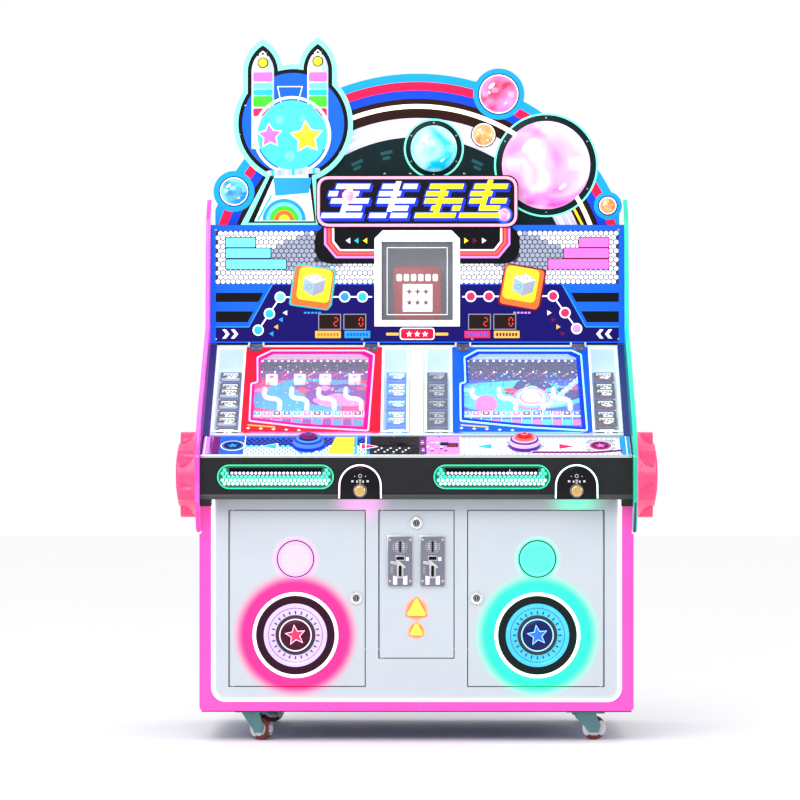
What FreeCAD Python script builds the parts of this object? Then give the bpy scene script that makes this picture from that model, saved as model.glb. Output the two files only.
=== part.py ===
import FreeCAD, Part
import math
import os
import re
import Sketcher

# A two-player marble arcade cabinet. Millimetres, +Z up, front at -Y.
# The origin is on the floor, in the middle of the footprint.

SIZES = {
    # cabinet body
    "cabinet_half": 570,        # half width over the side walls
    "wall": 18,                 # thickness of the wooden walls
    "back_face": 400,           # y of the outer back face
    "body_front": -300,         # y of the front edge of the side walls
    "base_level": 77.5,         # underside of the base board
    "base_board": 18,           # its thickness
    "seat_gap": 0.3,            # clearance of a moving piece that lies on a fixed one
    "running_fit": 0.05,        # radial clearance of a pin in its bore
    # front panel, its surround and the doors
    "surround_lip": 5,          # how far the surround stands out past the side walls
    "surround_low": 82,
    "surround_face": -318,
    "surround_side": 31,
    "surround_foot": 23.5,
    "bead_wide": 10,
    "bead_foot": 7.5,           # height of the bead along the bottom
    "bead_face": -315,
    "panel_face": -310,
    "door_thick": 16,
    "panel_corner": 30,
    "door_seam": 2.5,
    "pivot_inset": 8,           # pivot axis from the hinge edge of a door
    "door_edge_round": 5,
    "door_inner": 137,
    "door_outer": 496,
    "door_low": 147,
    "door_high": 611.5,
    "coin_door_half": 98.5,
    "coin_door_low": 222,
    "pivot_radius": 3,
    "pivot_depth": 15,
    "rear_half": 260,
    "rear_low": 200,
    "rear_high": 800,
    "rear_pivot_inset": 9,
    "rear_edge_round": 6,
    "pull_half": 40,
    "pull_high": 24,
    "pull_deep": 8,
    # speakers
    "speaker_x": 320.5,
    "woofer_level": 282,
    "woofer_flange": 113.5,
    "woofer_basket": 99,
    "woofer_proud": 6,
    "woofer_cone": 81.5,
    "woofer_cap": 43.5,
    "magnet_radius": 48,
    "magnet_deep": 58,
    "tweeter_level": 484,
    "tweeter_radius": 50,
    "tweeter_can": 30,
    "tweeter_proud": 3,
    # locks, coin mechanisms and lamps
    "lock_x": 159.5,
    "lock_level": 380,
    "coin_lock_level": 579,
    "lock_bezel": 16.5,
    "lock_barrel": 10,
    "lock_proud": 5,
    "cam_long": 34,
    "coin_cam_long": 46,
    "cam_wide": 9,
    "cam_thick": 3,
    "cam_gap": 4,               # from the back of the door to the cam
    "mech_x": 43,
    "mech_low": 411,
    "mech_high": 543,
    "mech_half": 32,
    "mech_proud": 7,
    "mech_deep": 45,
    "mech_corner": 6,
    "mech_margin": 5,
    "coin_slot_level": 517,
    "coin_slot_half": 2.2,
    "coin_slot_tall": 28,
    "coin_oval": 17,
    "coin_oval_proud": 3,
    "lever_x": -7,              # return lever's pivot from its mechanism's centre
    "lever_level": 478,
    "lever_long": 24,
    "lever_pin": 3,
    "lever_thick": 3,
    "lever_slope": 40,          # how far the resting lever slopes down
    "cup_level": 452,
    "cup_half": 4,
    "cup_tall": 29,
    "lamp_big_half": 31.5,
    "lamp_big_low": 331,
    "lamp_big_high": 387.5,
    "lamp_small_half": 22.8,
    "lamp_small_low": 279.5,
    "lamp_small_high": 321,
    "lamp_thick": 3,
    "lamp_round": 4,
    # control box and deck
    "fascia_face": -370,
    "fascia_thick": 15,
    "control_low": 643,
    "control_floor": 12,
    "fascia_top": 759,
    "deck_angle": 23,
    "deck_long": 127,
    "deck_thick": 4,
    "corner_block_wide": 29,
    "corner_block_low": 625,
    "station_x": 285,
    "grille_from_station": -86,
    "grille_long": 307,
    "grille_tall": 64,
    "grille_level": 702.5,
    "grille_thick": 4,
    "round_end_short": 0.1,     # a round end stops this short of a half circle
    "card_slot_long": 244,
    "card_slot_tall": 16,
    "card_slot_level": 715,
    "launcher_from_station": 137,
    "launcher_half": 57,
    "launcher_top": 736,
    "launcher_low": 645,
    "launcher_thick": 8,
    "plunger_level": 666,
    "plunger_rod": 5,
    "plunger_knob": 15,
    "plunger_front": -400,
    "knob_long": 16,
    "plunger_end": -290,
    "plunger_head": 9,
    "plunger_head_long": 10,
    "plunger_hole": 8,
    "dial_x": 286,
    "dial_radius": 42,
    "dial_shoulder": 36,
    "dial_high": 22,
    "dial_shaft": 10,
    "dial_shaft_deep": 20,
    "well_floor": 10,
    "button_radius": 24,
    "button_gap": 0.5,
    "button_travel": 4.5,
    "button_high": 36,
    "button_round": 9,
    # play area, in its own sloping frame
    "play_front": -245,
    "play_level": 812,
    "play_angle": 35,
    "play_long": 427,
    "tub_deep": 80,
    "tub_skin": 8,
    "tub_floor": 6,
    "post_half": 18,
    "bay_wall": 8,
    "inner_bay": 92,            # inner bay ends here, half width from the middle
    "outer_bay": 474,           # outer bay starts here
    "board_level": -39,
    "board_thick": 6,
    "pin_radius": 1.5,
    "pin_tall": 14,
    "pin_pitch": 34,
    "pin_row": 24,
    "pin_first_row": 282,
    "tube_radius": 7,
    "tube_bore": 5.5,
    "tube_pitch": 74,
    "tube_bend": 22,
    "tube_run": 26,
    "tube_first": -133,         # first tube from the middle of its playfield
    "tube_start": 262,
    "lid_gap": 2.5,
    "lid_thick": 6,
    "lid_near": 4,
    "lid_far": 408,
    "lid_axis": 418,
    "lid_axis_high": 3.3,
    "clamp_wide": 34,
    "clamp_back": 385,
    "clamp_plate": 4,
    "clamp_barrel": 6,
    "clamp_share": 0.2,         # of the lid's width, from each side
    "ear_thick": 5,
    "pack_long": 44,
    "pack_thick": 15,
    "pack_step": 17,
    "pack_margin": 8,
    # backbox and what stands on it; a text that starts with = is worked out in the sheet
    "body_rise": 5.583,         # top of the side walls above the end of the play area
    "backbox_tuck": 0.778,      # how far the backbox stands over the end of the play area
    "body_top": "=play_level + play_long * sin(play_angle) + body_rise",
    "backbox_face": "=play_front + play_long * cos(play_angle) - backbox_tuck",
    "backbox_top": "=body_top + 326.2",
    "backbox_panel": 6,
    "showcase_half": 118,
    "showcase_low": "=body_top + 45.5",
    "showcase_high": "=body_top + 311",
    "showcase_corner": 23,
    "showcase_open_half": 98,
    "showcase_open_low": "=body_top + 63.5",
    "showcase_open_high": "=body_top + 279",
    "showcase_proud": 8,
    "showcase_skin": 3,
    "showcase_deep": 126,
    "showcase_pane": 4,
    "prize_half": 62,
    "prize_tall": 150,
    "prize_deep": 60,
    "display_inner_x": 172,
    "display_outer_x": 241.5,
    "display_half": 31.5,
    "display_low": "=body_top + 36.5",
    "display_high": "=body_top + 80.5",
    "display_proud": 4,
    "label_inner_x": 166,
    "label_outer_x": 247,
    "label_half": 35.5,
    "label_low": "=body_top + 13.5",
    "label_high": "=body_top + 33.5",
    "arch_level": "=body_top + 143.5",
    "arch_radius": 604,
    "arch_half": 560,
    "arch_front": "=backbox_face + 46",
    "plate_thick": 12,
    "rocket_front": "=backbox_face + 21",
    "rocket_x": -343,
    "rocket_level": "=body_top + 606.5",
    "rocket_radius": 165,
    "tower_left_x": -427,
    "tower_left_top": "=body_top + 841.5",
    "tower_left_half": 55,
    "tower_right_x": -275,
    "tower_right_top": "=body_top + 845.5",
    "tower_right_half": 53,
    "nose_tall": 92,
    "rocket_neck_half": 62,
    "rocket_foot_left": -489,
    "rocket_foot_right": -275,
    "rocket_foot_high": "=body_top + 484.5",
    "title_half": 279,
    "title_low": "=body_top + 317.5",
    "title_high": "=body_top + 462.5",
    "title_thick": 10,
    "title_corner": 30,
    "dome_rise": 0.5,           # height of a lamp's dome over its radius
    # wings and side shells
    "wing_thick": 12,
    "wing_tip": "=body_top + 397.5",
    "wing_toe": 551,
    "wing_nose": -400,
    "wing_round": 28,
    "shell_y": -190,
    "shell_level": 705,
    "shell_radius": 122,
    "shell_proud": 61,
    "shell_brim": 24,           # each step of the shell, in from its rim and out from the wing
    "shell_brim_high": 27,
    "shell_crown": 38,
    "shell_crown_high": 55,
    "shell_ledge": 54,
    "shell_ledge_high": 58,
    "shell_cap": 67,
    "shell_cap_slope": 5,
    "shell_round": 2,
    "lobe_radius": 24.4,
    "lobe_inset": 32,
    "lobe_high": 50,
    # inside
    "cash_half": 88,
    "cash_front": -285,
    "cash_deep": 200,
    "cash_high": 110,
    "tray_skin": 3,
    "hopper_front": -60,
    "hopper_back": 200,
    "hopper_low": 600,
    "hopper_high": 700,
    "inlet_x": 420,
    "inlet_level": 150,
    "inlet_half": 24,
    "inlet_tall": 30,
    "inlet_deep": 24,
    "prong_pitch": 7,
    "prong_half": 1,
    "prong_tall": 3,
    # casters
    "caster_x": 440,
    "caster_front": -240,
    "caster_back": 320,
    "caster_plate_half": 42,
    "caster_plate_thick": 3,
    "wheel_radius": 31.5,
    "wheel_half": 11,
    "wheel_bore": 4,
    "hub_radius": 17,
    "hub_groove": 4,
    "groove_deep": 2,
    "tread_round": 3,
    "caster_trail": 33,
    "cheek_gap": 1,
    "cheek_thick": 3,
    "crown_radius": 26,
    "crown_thick": 7,
    "cheek_back": 0.75,         # where the cheek starts, over the crown's radius
    "cheek_nose": 0.7,          # how much of the hub the cheek's lower corners cover
    "cheek_rise": 5,
    "king_radius": 5,
    "pedal_x": 30,
    "pedal_level": 68.5,
    "pedal_half": 10,
    "pedal_long": 32,
    "pedal_pin": 2.5,
    "pedal_thick": 3,
}

# Lamps on the plates: x, height above body_top, radius, radius of the plate's bump (0 for none).
ARCH_LAMPS = {
    "crimson": (226, 690.5, 52, 71),
    "cyan": (46, 539.5, 66, 0),
    "orange": (184, 577.5, 30, 0),
    "pink": (357, 493.5, 124, 144),
    "small_orange": (528, 381, 22, 39),
    "blue": (-508, 421, 37, 57),
}
TITLE_LAMPS = {
    "left_lilac": (-187.5, 405.5, 21, 0),
    "right_lilac": (239, 353.5, 19.5, 0),
}
for lamps in (ARCH_LAMPS, TITLE_LAMPS):
    for lamp, values in lamps.items():
        for word, value in zip(("x", "rise", "ball", "bump"), values):
            SIZES[f"{lamp}_{word}"] = value
        SIZES[f"{lamp}_level"] = f"=body_top + {lamp}_rise"

# Casters: name, side of the cabinet, y of the swivel axis, resting turn in degrees.
CASTERS = [
    ("front_left", -1, "caster_front", -35),
    ("front_right", 1, "caster_front", 0),
    ("rear_left", -1, "caster_back", 0),
    ("rear_right", 1, "caster_back", 20),
]
LEFT_RIGHT = [("left", -1), ("right", 1)]

# How many of each repeated piece there are.
PIN_ROWS = 4
PINS_IN_ROW = 9
TUBES = 4
PACKS = 8
PACK_STEPS = 3
SHELL_LOBES = 6

DOC = FreeCAD.newDocument("MarbleCabinet")
SHEET = DOC.addObject("Spreadsheet::Sheet", "Size")
NODES = []


def fill_sheet():
    """Write every driving size into the sheet under its own alias."""
    for row, (alias, value) in enumerate(SIZES.items(), 1):
        SHEET.set(f"A{row}", alias)
        SHEET.set(f"B{row}", str(value))
        SHEET.setAlias(f"B{row}", alias)
    DOC.recompute()


def formula(text):
    """Point each size's name in a formula at the sheet."""
    def swap(found):
        word = found.group(0)
        return f"Size.{word}" if word in SIZES else word
    return re.sub(r"[a-z][a-z0-9_]*", swap, str(text))


def value(text):
    """What a formula comes to, in millimetres or degrees."""
    found = SHEET.evalExpression(formula(text))
    return float(getattr(found, "Value", found))


def bind(thing, **formulas):
    for name, text in formulas.items():
        thing.setExpression(name, formula(text))
    return thing


def place(thing, x=0, y=0, z=0, axis=(0, 0, 1), turn=0):
    """Place a piece at x, y, z, turned about an axis."""
    where = f"vector({formula(x)}; {formula(y)}; {formula(z)})"
    spin = f"rotation(vector({axis[0]}; {axis[1]}; {axis[2]}); {formula(turn)})"
    thing.setExpression("Placement", f"placement({where}; {spin})")
    return thing


def block(x, y, z):
    """A box between three pairs of formulas."""
    box = DOC.addObject("Part::Box", "Block")
    bind(box, Length=f"({x[1]}) - ({x[0]})", Width=f"({y[1]}) - ({y[0]})",
         Height=f"({z[1]}) - ({z[0]})")
    return place(box, x[0], y[0], z[0])


def rod(along, radius, span, first, second):
    """A cylinder along an axis; first and second are its centre on the other two axes."""
    cylinder = DOC.addObject("Part::Cylinder", "Rod")
    bind(cylinder, Radius=radius, Height=f"({span[1]}) - ({span[0]})")
    if along == "x":
        return place(cylinder, span[0], first, second, (0, 1, 0), 90)
    if along == "y":
        return place(cylinder, first, span[0], second, (1, 0, 0), -90)
    return place(cylinder, first, second, span[0])


def cut(base, *tools):
    """A piece less its tools, taken one after another."""
    for tool in tools:
        less = DOC.addObject("Part::Cut", "Cut")
        less.Base = base
        less.Tool = tool
        base = less
    return base


def join(*pieces):
    fuse = DOC.addObject("Part::MultiFuse", "Join")
    fuse.Shapes = list(pieces)
    return fuse


def overlap(first, second):
    common = DOC.addObject("Part::Common", "Overlap")
    common.Base = first
    common.Tool = second
    return common


def group(*pieces):
    """Separate solids that make one sub-part."""
    compound = DOC.addObject("Part::Compound", "Group")
    compound.Links = list(pieces)
    return compound


def mirrored(piece):
    """The same piece on the other side of the middle plane."""
    mirror = DOC.addObject("Part::Mirroring", "Mirrored")
    mirror.Source = piece
    mirror.Normal = FreeCAD.Vector(1, 0, 0)
    return mirror


def outline(body, role, points):
    """A closed sketch on one of the body's planes, each corner bound to its two formulas."""
    plane = next(f for f in body.Origin.OriginFeatures if f.Role == role)
    sketch = body.newObject("Sketcher::SketchObject", "Outline")
    sketch.AttachmentSupport = [(plane, "")]
    sketch.MapMode = "FlatFace"
    corners = [FreeCAD.Vector(value(a), value(b), 0) for a, b in points]
    count = len(corners)
    for i in range(count):
        sketch.addGeometry(Part.LineSegment(corners[i], corners[(i + 1) % count]), False)
    for i in range(count):
        sketch.addConstraint(Sketcher.Constraint("Coincident", i, 2, (i + 1) % count, 1))
    for i, (corner, texts) in enumerate(zip(corners, points)):
        for kind, start, text in zip(("DistanceX", "DistanceY"), corner, texts):
            made = sketch.addConstraint(Sketcher.Constraint(kind, -1, 1, i, 1, start))
            sketch.setExpression(f"Constraints[{made}]", formula(text))
    return sketch


def soften(body, feature, radius, is_chosen):
    """Round those edges of a feature that a test picks out."""
    DOC.recompute()
    names = [f"Edge{i}" for i, edge in enumerate(feature.Shape.Edges, 1) if is_chosen(edge)]
    fillet = body.newObject("PartDesign::Fillet", "Round")
    fillet.Base = (feature, names)
    bind(fillet, Radius=radius)
    return fillet


def prism(plane, points, span, radius=0, rounded=()):
    """An outline on plane XY, XZ or YZ, padded over a span of the third axis."""
    body = DOC.addObject("PartDesign::Body", "Prism")
    pad = body.newObject("PartDesign::Pad", "Pad")
    pad.Profile = outline(body, f"{plane}_Plane", points)
    bind(pad, Length=f"({span[1]}) - ({span[0]})")
    across = {"XY": 2, "XZ": 1, "YZ": 0}[plane]
    first, second = [axis for axis in range(3) if axis != across]
    corners = [(value(points[i][0]), value(points[i][1])) for i in rounded]

    def at_corner(edge):
        ends = [vertex.Point for vertex in edge.Vertexes]
        if len(ends) < 2 or abs(ends[0][across] - ends[1][across]) < 0.5:
            return False
        return any(all(math.hypot(end[first] - a, end[second] - b) < 0.01 for end in ends)
                   for a, b in corners)
    if rounded:
        soften(body, pad, radius, at_corner)
    if plane == "XZ":
        return place(body, 0, span[1], 0)
    return place(body, span[0] if plane == "YZ" else 0, 0, span[0] if plane == "XY" else 0)


def turned(points, radius=0, rounded=()):
    """A solid of revolution about Z from corners given as radius and height."""
    body = DOC.addObject("PartDesign::Body", "Turned")
    sketch = outline(body, "XZ_Plane", points)
    spin = body.newObject("PartDesign::Revolution", "Spin")
    spin.Profile = sketch
    spin.ReferenceAxis = (sketch, ["V_Axis"])
    spin.Angle = 360
    corners = [(value(points[i][0]), value(points[i][1])) for i in rounded]

    def at_corner(edge):
        if not isinstance(edge.Curve, Part.Circle):
            return False
        middle = edge.Curve.Center
        return any(abs(edge.Curve.Radius - a) < 0.01 and abs(middle.z - b) < 0.01
                   for a, b in corners)
    if rounded:
        soften(body, spin, radius, at_corner)
    return body


def tilt(piece, x, front, level, angle):
    """Set a piece made flat onto a slope that starts at front and level."""
    return place(piece, x, front, level, (1, 0, 0), angle)


def on_deck(piece, x=0, along=0):
    """Set a piece made flat onto the control deck."""
    front = f"fascia_face + ({along}) * cos(deck_angle)"
    level = f"fascia_top + ({along}) * sin(deck_angle)"
    return tilt(piece, x, front, level, "deck_angle")


def on_play(piece, x=0):
    """Set a piece made flat onto the sloping play area."""
    return tilt(piece, x, "play_front", "play_level", "play_angle")


def name(label, piece):
    """Make a piece a sub-part of the cabinet under its own label."""
    piece.Label = label
    NODES.append(piece)
    return piece


# Values worked out from the sizes.
WALL_IN = "cabinet_half - wall"
DOOR_BACK = "panel_face + door_thick"
SURROUND_HALF = "cabinet_half + surround_lip"
BEAD_HALF = f"{SURROUND_HALF} - surround_side"
PANEL_HALF = f"{BEAD_HALF} - bead_wide"
BEAD_LOW = "surround_low + surround_foot"
PANEL_LOW = f"{BEAD_LOW} + bead_foot"
BOARD_TOP = "base_level + base_board"


def base_frame():
    board = block(("-cabinet_half", "cabinet_half"), ("body_front", "back_face"),
                  ("base_level", BOARD_TOP))
    name("base_frame", board)


def cabinet_walls():
    """Two side walls that follow the deck and the play area, and the back with its doorway."""
    deck_drop = "deck_thick / cos(deck_angle)"
    deck_rise = "(body_front - fascia_face) * tan(deck_angle)"
    profile = [
        ("body_front", BOARD_TOP),
        ("back_face", BOARD_TOP),
        ("back_face", "body_top"),
        ("play_front + play_long * cos(play_angle)", "body_top"),
        ("play_front + play_long * cos(play_angle)", "play_level + play_long * sin(play_angle)"),
        ("play_front", "play_level"),
        ("fascia_face + deck_long * cos(deck_angle) + deck_thick * sin(deck_angle)",
         "fascia_top + deck_long * sin(deck_angle) - deck_thick * cos(deck_angle)"),
        ("body_front", f"fascia_top + {deck_rise} - {deck_drop}"),
    ]
    right = prism("YZ", profile, (WALL_IN, "cabinet_half"))
    left = prism("YZ", profile, ("-cabinet_half", f"-({WALL_IN})"))
    back = block((f"-({WALL_IN})", WALL_IN), ("back_face - wall", "back_face"),
                 (BOARD_TOP, "body_top"))
    doorway = block(("-rear_half - door_seam", "rear_half + door_seam"),
                    ("back_face - 2 * wall", "back_face + wall"),
                    ("rear_low - door_seam", "rear_high + door_seam"))
    socket = block(("inlet_x - inlet_half", "inlet_x + inlet_half"),
                   ("back_face - 2 * wall", "back_face + wall"),
                   ("inlet_level - inlet_tall", "inlet_level + inlet_tall"))
    holes = pivots("rear_half - rear_pivot_inset", "back_face - wall / 2", "rear_low",
                   "rear_high", "pivot_radius")
    name("cabinet_walls", group(left, right, cut(back, doorway, socket, *holes)))


def pivots(x, y, low, high, radius):
    """The two pins, or their two holes, that a door turns on: top and bottom."""
    return [rod("z", radius, (f"({low}) - door_seam - pivot_depth", f"({low}) + pivot_depth"), x, y),
            rod("z", radius, (f"({high}) - pivot_depth", f"({high}) + door_seam + pivot_depth"),
                x, y)]


def u_frame(half, low, inner_half, inner_low, face, outer_round, inner_round):
    """A frame open at the top, with round lower corners."""
    high = "control_low"
    outer = prism("XZ", [(f"-({half})", low), (half, low), (half, high), (f"-({half})", high)],
                  (face, "body_front"), outer_round, (0, 1))
    inner = prism("XZ", [(f"-({inner_half})", inner_low), (inner_half, inner_low),
                         (inner_half, f"{high} + wall"), (f"-({inner_half})", f"{high} + wall")],
                  (f"{face} - wall", "body_front + wall"), inner_round, (0, 1))
    return cut(outer, inner)


def front_surround():
    """The coloured frame round the front panel, and the light bead inside it."""
    frame = u_frame(SURROUND_HALF, "surround_low", BEAD_HALF, BEAD_LOW, "surround_face",
                    "panel_corner / 3", "panel_corner + bead_wide")
    beside_wing = block(("cabinet_half", f"{SURROUND_HALF} + wall"),
                        ("surround_face - wall", "body_front + wall"),
                        ("wing_toe - seat_gap", "control_low + wall"))
    frame = cut(frame, beside_wing, mirrored(beside_wing))
    bead = u_frame(BEAD_HALF, BEAD_LOW, PANEL_HALF, PANEL_LOW, "bead_face",
                   "panel_corner + bead_wide", "panel_corner")
    name("front_surround", group(frame, bead))


def front_panel():
    high = "control_low"
    plate = prism("XZ", [(f"-({PANEL_HALF})", PANEL_LOW), (PANEL_HALF, PANEL_LOW),
                         (PANEL_HALF, high), (f"-({PANEL_HALF})", high)],
                  ("panel_face", DOOR_BACK), "panel_corner", (0, 1))
    through = ("panel_face - wall", f"{DOOR_BACK} + wall")
    right = block(("door_inner - door_seam", "door_outer + door_seam"), through,
                  ("door_low - door_seam", "door_high + door_seam"))
    coin = block(("-coin_door_half - door_seam", "coin_door_half + door_seam"), through,
                 ("coin_door_low - door_seam", "door_high + door_seam"))
    middle = "panel_face + door_thick / 2"
    side_pins = pivots("door_outer - pivot_inset", middle, "door_low", "door_high",
                       "pivot_radius")
    coin_pins = pivots("pivot_inset - coin_door_half", middle, "coin_door_low", "door_high",
                       "pivot_radius")
    holes = side_pins + [mirrored(pin) for pin in side_pins] + coin_pins
    name("front_panel", cut(plate, right, mirrored(right), coin, *holes))


def door_slab(x, low, high, y, edge_round, hinge_right):
    """A door with its hinge edge rounded to turn inside the seam."""
    corners = [(x[0], y[0]), (x[1], y[0]), (x[1], y[1]), (x[0], y[1])]
    return prism("XY", corners, (low, high), edge_round, (1, 2) if hinge_right else (0, 3))


def side_door(side, sign):
    """A lower side door, hinged at its outer edge, with its speaker and lock holes."""
    slab = door_slab(("door_inner", "door_outer"), "door_low", "door_high",
                     ("panel_face", DOOR_BACK), "door_edge_round", True)
    through = ("panel_face - wall", f"{DOOR_BACK} + wall")
    holes = [
        rod("y", "woofer_basket", through, "speaker_x", "woofer_level"),
        rod("y", "tweeter_can", through, "speaker_x", "tweeter_level"),
        rod("y", "lock_barrel + running_fit", through, "lock_x", "lock_level"),
    ]
    holes += pivots("door_outer - pivot_inset", "panel_face + door_thick / 2", "door_low",
                    "door_high", "pivot_radius + running_fit")
    door = cut(slab, *holes)
    name(f"{side}_door", mirrored(door) if sign < 0 else door)


def coin_door():
    slab = door_slab(("-coin_door_half", "coin_door_half"), "coin_door_low", "door_high",
                     ("panel_face", DOOR_BACK), "door_edge_round", False)
    through = ("panel_face - wall", f"{DOOR_BACK} + wall")
    holes = [rod("y", "lock_barrel + running_fit", through, 0, "coin_lock_level")]
    for sign in (-1, 1):
        centre = f"{sign} * mech_x"
        holes.append(block((f"{centre} - mech_half + mech_margin",
                            f"{centre} + mech_half - mech_margin"), through,
                           ("mech_low + mech_margin", "mech_high - mech_margin")))
    holes += pivots("pivot_inset - coin_door_half", "panel_face + door_thick / 2",
                    "coin_door_low", "door_high", "pivot_radius + running_fit")
    name("coin_door", cut(slab, *holes))


def rear_door():
    """The service door in the back, with a finger recess."""
    slab = door_slab(("-rear_half", "rear_half"), "rear_low", "rear_high",
                     ("back_face - wall", "back_face"), "rear_edge_round", True)
    middle = "(rear_low + rear_high) / 2"
    pull = block(("-rear_half + wall", "-rear_half + wall + 2 * pull_half"),
                 ("back_face - pull_deep", "back_face + wall"),
                 (f"{middle} - pull_high", f"{middle} + pull_high"))
    holes = pivots("rear_half - rear_pivot_inset", "back_face - wall / 2", "rear_low",
                   "rear_high", "pivot_radius + running_fit")
    name("rear_door", cut(slab, pull, *holes))


def hinge_pins():
    """The pins of the four cabinet doors and of the two glass lids."""
    middle = "panel_face + door_thick / 2"
    side_pins = pivots("door_outer - pivot_inset", middle, "door_low", "door_high",
                       "pivot_radius")
    coin_pins = pivots("pivot_inset - coin_door_half", middle, "coin_door_low", "door_high",
                       "pivot_radius")
    rear_pins = pivots("rear_half - rear_pivot_inset", "back_face - wall / 2", "rear_low",
                       "rear_high", "pivot_radius")
    lid_pins = []
    for centre in clamp_centres():
        reach = "clamp_wide / 2 + seat_gap + ear_thick"
        pin = rod("x", "pivot_radius", (f"{centre} - ({reach})", f"{centre} + {reach}"),
                  lid_axis_front(), lid_axis_level())
        lid_pins += [pin, mirrored(pin)]
    name("hinge_pins", group(*side_pins, *[mirrored(pin) for pin in side_pins], *coin_pins,
                             *rear_pins, *lid_pins))


def speaker(side, sign):
    """A woofer and a tweeter, fixed in a side door."""
    flange = rod("y", "woofer_flange", ("panel_face - woofer_proud", "panel_face"),
                 "speaker_x", "woofer_level")
    basket = rod("y", "woofer_basket", ("panel_face - woofer_proud", DOOR_BACK),
                 "speaker_x", "woofer_level")
    magnet = rod("y", "magnet_radius", (DOOR_BACK, f"{DOOR_BACK} + magnet_deep"),
                 "speaker_x", "woofer_level")
    dish = rod("y", "woofer_cone", ("panel_face - wall", "panel_face - woofer_proud / 3"),
               "speaker_x", "woofer_level")
    cap = rod("y", "woofer_cap", ("panel_face - woofer_proud", "panel_face"),
              "speaker_x", "woofer_level")
    woofer = join(cut(join(flange, basket, magnet), dish), cap)
    front = rod("y", "tweeter_radius", ("panel_face - tweeter_proud", "panel_face"),
                "speaker_x", "tweeter_level")
    can = rod("y", "tweeter_can", ("panel_face - tweeter_proud", f"{DOOR_BACK} + wall"),
              "speaker_x", "tweeter_level")
    pair = group(woofer, join(front, can))
    name(f"{side}_speaker", mirrored(pair) if sign < 0 else pair)


def lock(label, x, level, cam, turn):
    """A cam lock: its bezel, its barrel through the door and the cam behind the door."""
    face = ("panel_face - lock_proud", "panel_face - seat_gap")
    tail = (f"{DOOR_BACK} + cam_gap", f"{DOOR_BACK} + cam_gap + cam_thick")
    bezel = rod("y", "lock_bezel", face, 0, 0)
    barrel = rod("y", "lock_barrel", (face[0], tail[1]), 0, 0)
    arm = block(("-cam_wide / 2", "cam_wide / 2"), tail, (f"-{cam}", 0))
    key_slot = block(("-lock_proud / 5", "lock_proud / 5"),
                     ("panel_face - wall", "panel_face - lock_proud / 2"),
                     ("-lock_proud", "lock_proud"))
    whole = cut(join(bezel, barrel, arm), key_slot)
    name(label, place(whole, x, 0, level, (0, 1, 0), turn))


def coin_acceptors():
    """Two coin mechanisms, each on its backing plate, with a slot, a lever and a cup."""
    made = []
    for sign in (-1, 1):
        x = f"{sign} * mech_x"
        ends = (f"{x} - mech_half", f"{x} + mech_half")
        front = ("panel_face - mech_proud", "panel_face")
        corners = [(ends[0], "mech_low"), (ends[1], "mech_low"), (ends[1], "mech_high"),
                   (ends[0], "mech_high")]
        face = prism("XZ", corners, front, "mech_corner", (0, 1, 2, 3))
        works = block((f"{x} - mech_half + mech_margin", f"{x} + mech_half - mech_margin"),
                      ("panel_face - mech_proud / 2", f"{DOOR_BACK} + mech_deep"),
                      ("mech_low + mech_margin", "mech_high - mech_margin"))
        oval = rod("y", "coin_oval", ("panel_face - mech_proud - coin_oval_proud", "panel_face"),
                   x, "coin_slot_level")
        past = "panel_face - mech_proud - coin_oval_proud - wall"
        slot = block((f"{x} - coin_slot_half", f"{x} + coin_slot_half"),
                     (past, f"{DOOR_BACK} + mech_deep / 2"),
                     ("coin_slot_level - coin_slot_tall / 2",
                      "coin_slot_level + coin_slot_tall / 2"))
        cup = block((f"{x} - cup_half", f"{x} + cup_half"), (past, "panel_face"),
                    ("cup_level - cup_tall / 2", "cup_level + cup_tall / 2"))
        pin_hole = rod("y", "lever_pin + running_fit", (past, "panel_face"),
                       f"{x} + lever_x", "lever_level")
        made.append(cut(join(face, works, oval), slot, cup, pin_hole))
    name("coin_acceptors", group(*made))


def return_lever(side, sign):
    """The lever that gives a stuck coin back: its pin and a sloping arm."""
    x = f"{sign} * mech_x + lever_x"
    face = "panel_face - mech_proud"
    pin = rod("y", "lever_pin", (f"{face} - seat_gap - lever_thick", "panel_face"), 0, 0)
    arm = block((0, "lever_long"), (f"{face} - seat_gap - lever_thick", f"{face} - seat_gap"),
                ("-lever_pin", "lever_pin"))
    tip = rod("y", "lever_pin", (f"{face} - seat_gap - lever_thick", f"{face} - seat_gap"),
              "lever_long", 0)
    lever = join(pin, arm, tip)
    name(f"{side}_return_lever", place(lever, x, 0, "lever_level", (0, 1, 0), "lever_slope"))


def arrow_lamps():
    """Two lit triangles, one above the other."""
    lamps = []
    for half, low, high in (("lamp_big_half", "lamp_big_low", "lamp_big_high"),
                            ("lamp_small_half", "lamp_small_low", "lamp_small_high")):
        lamps.append(prism("XZ", [(f"-{half}", low), (half, low), (0, high)],
                           ("panel_face - lamp_thick", "panel_face"), "lamp_round", (0, 1, 2)))
    name("arrow_lamps", group(*lamps))


def deck_under(y):
    """Height of the deck's underside at a given y."""
    return f"fascia_top + (({y}) - fascia_face) * tan(deck_angle) - deck_thick / cos(deck_angle)"


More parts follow.
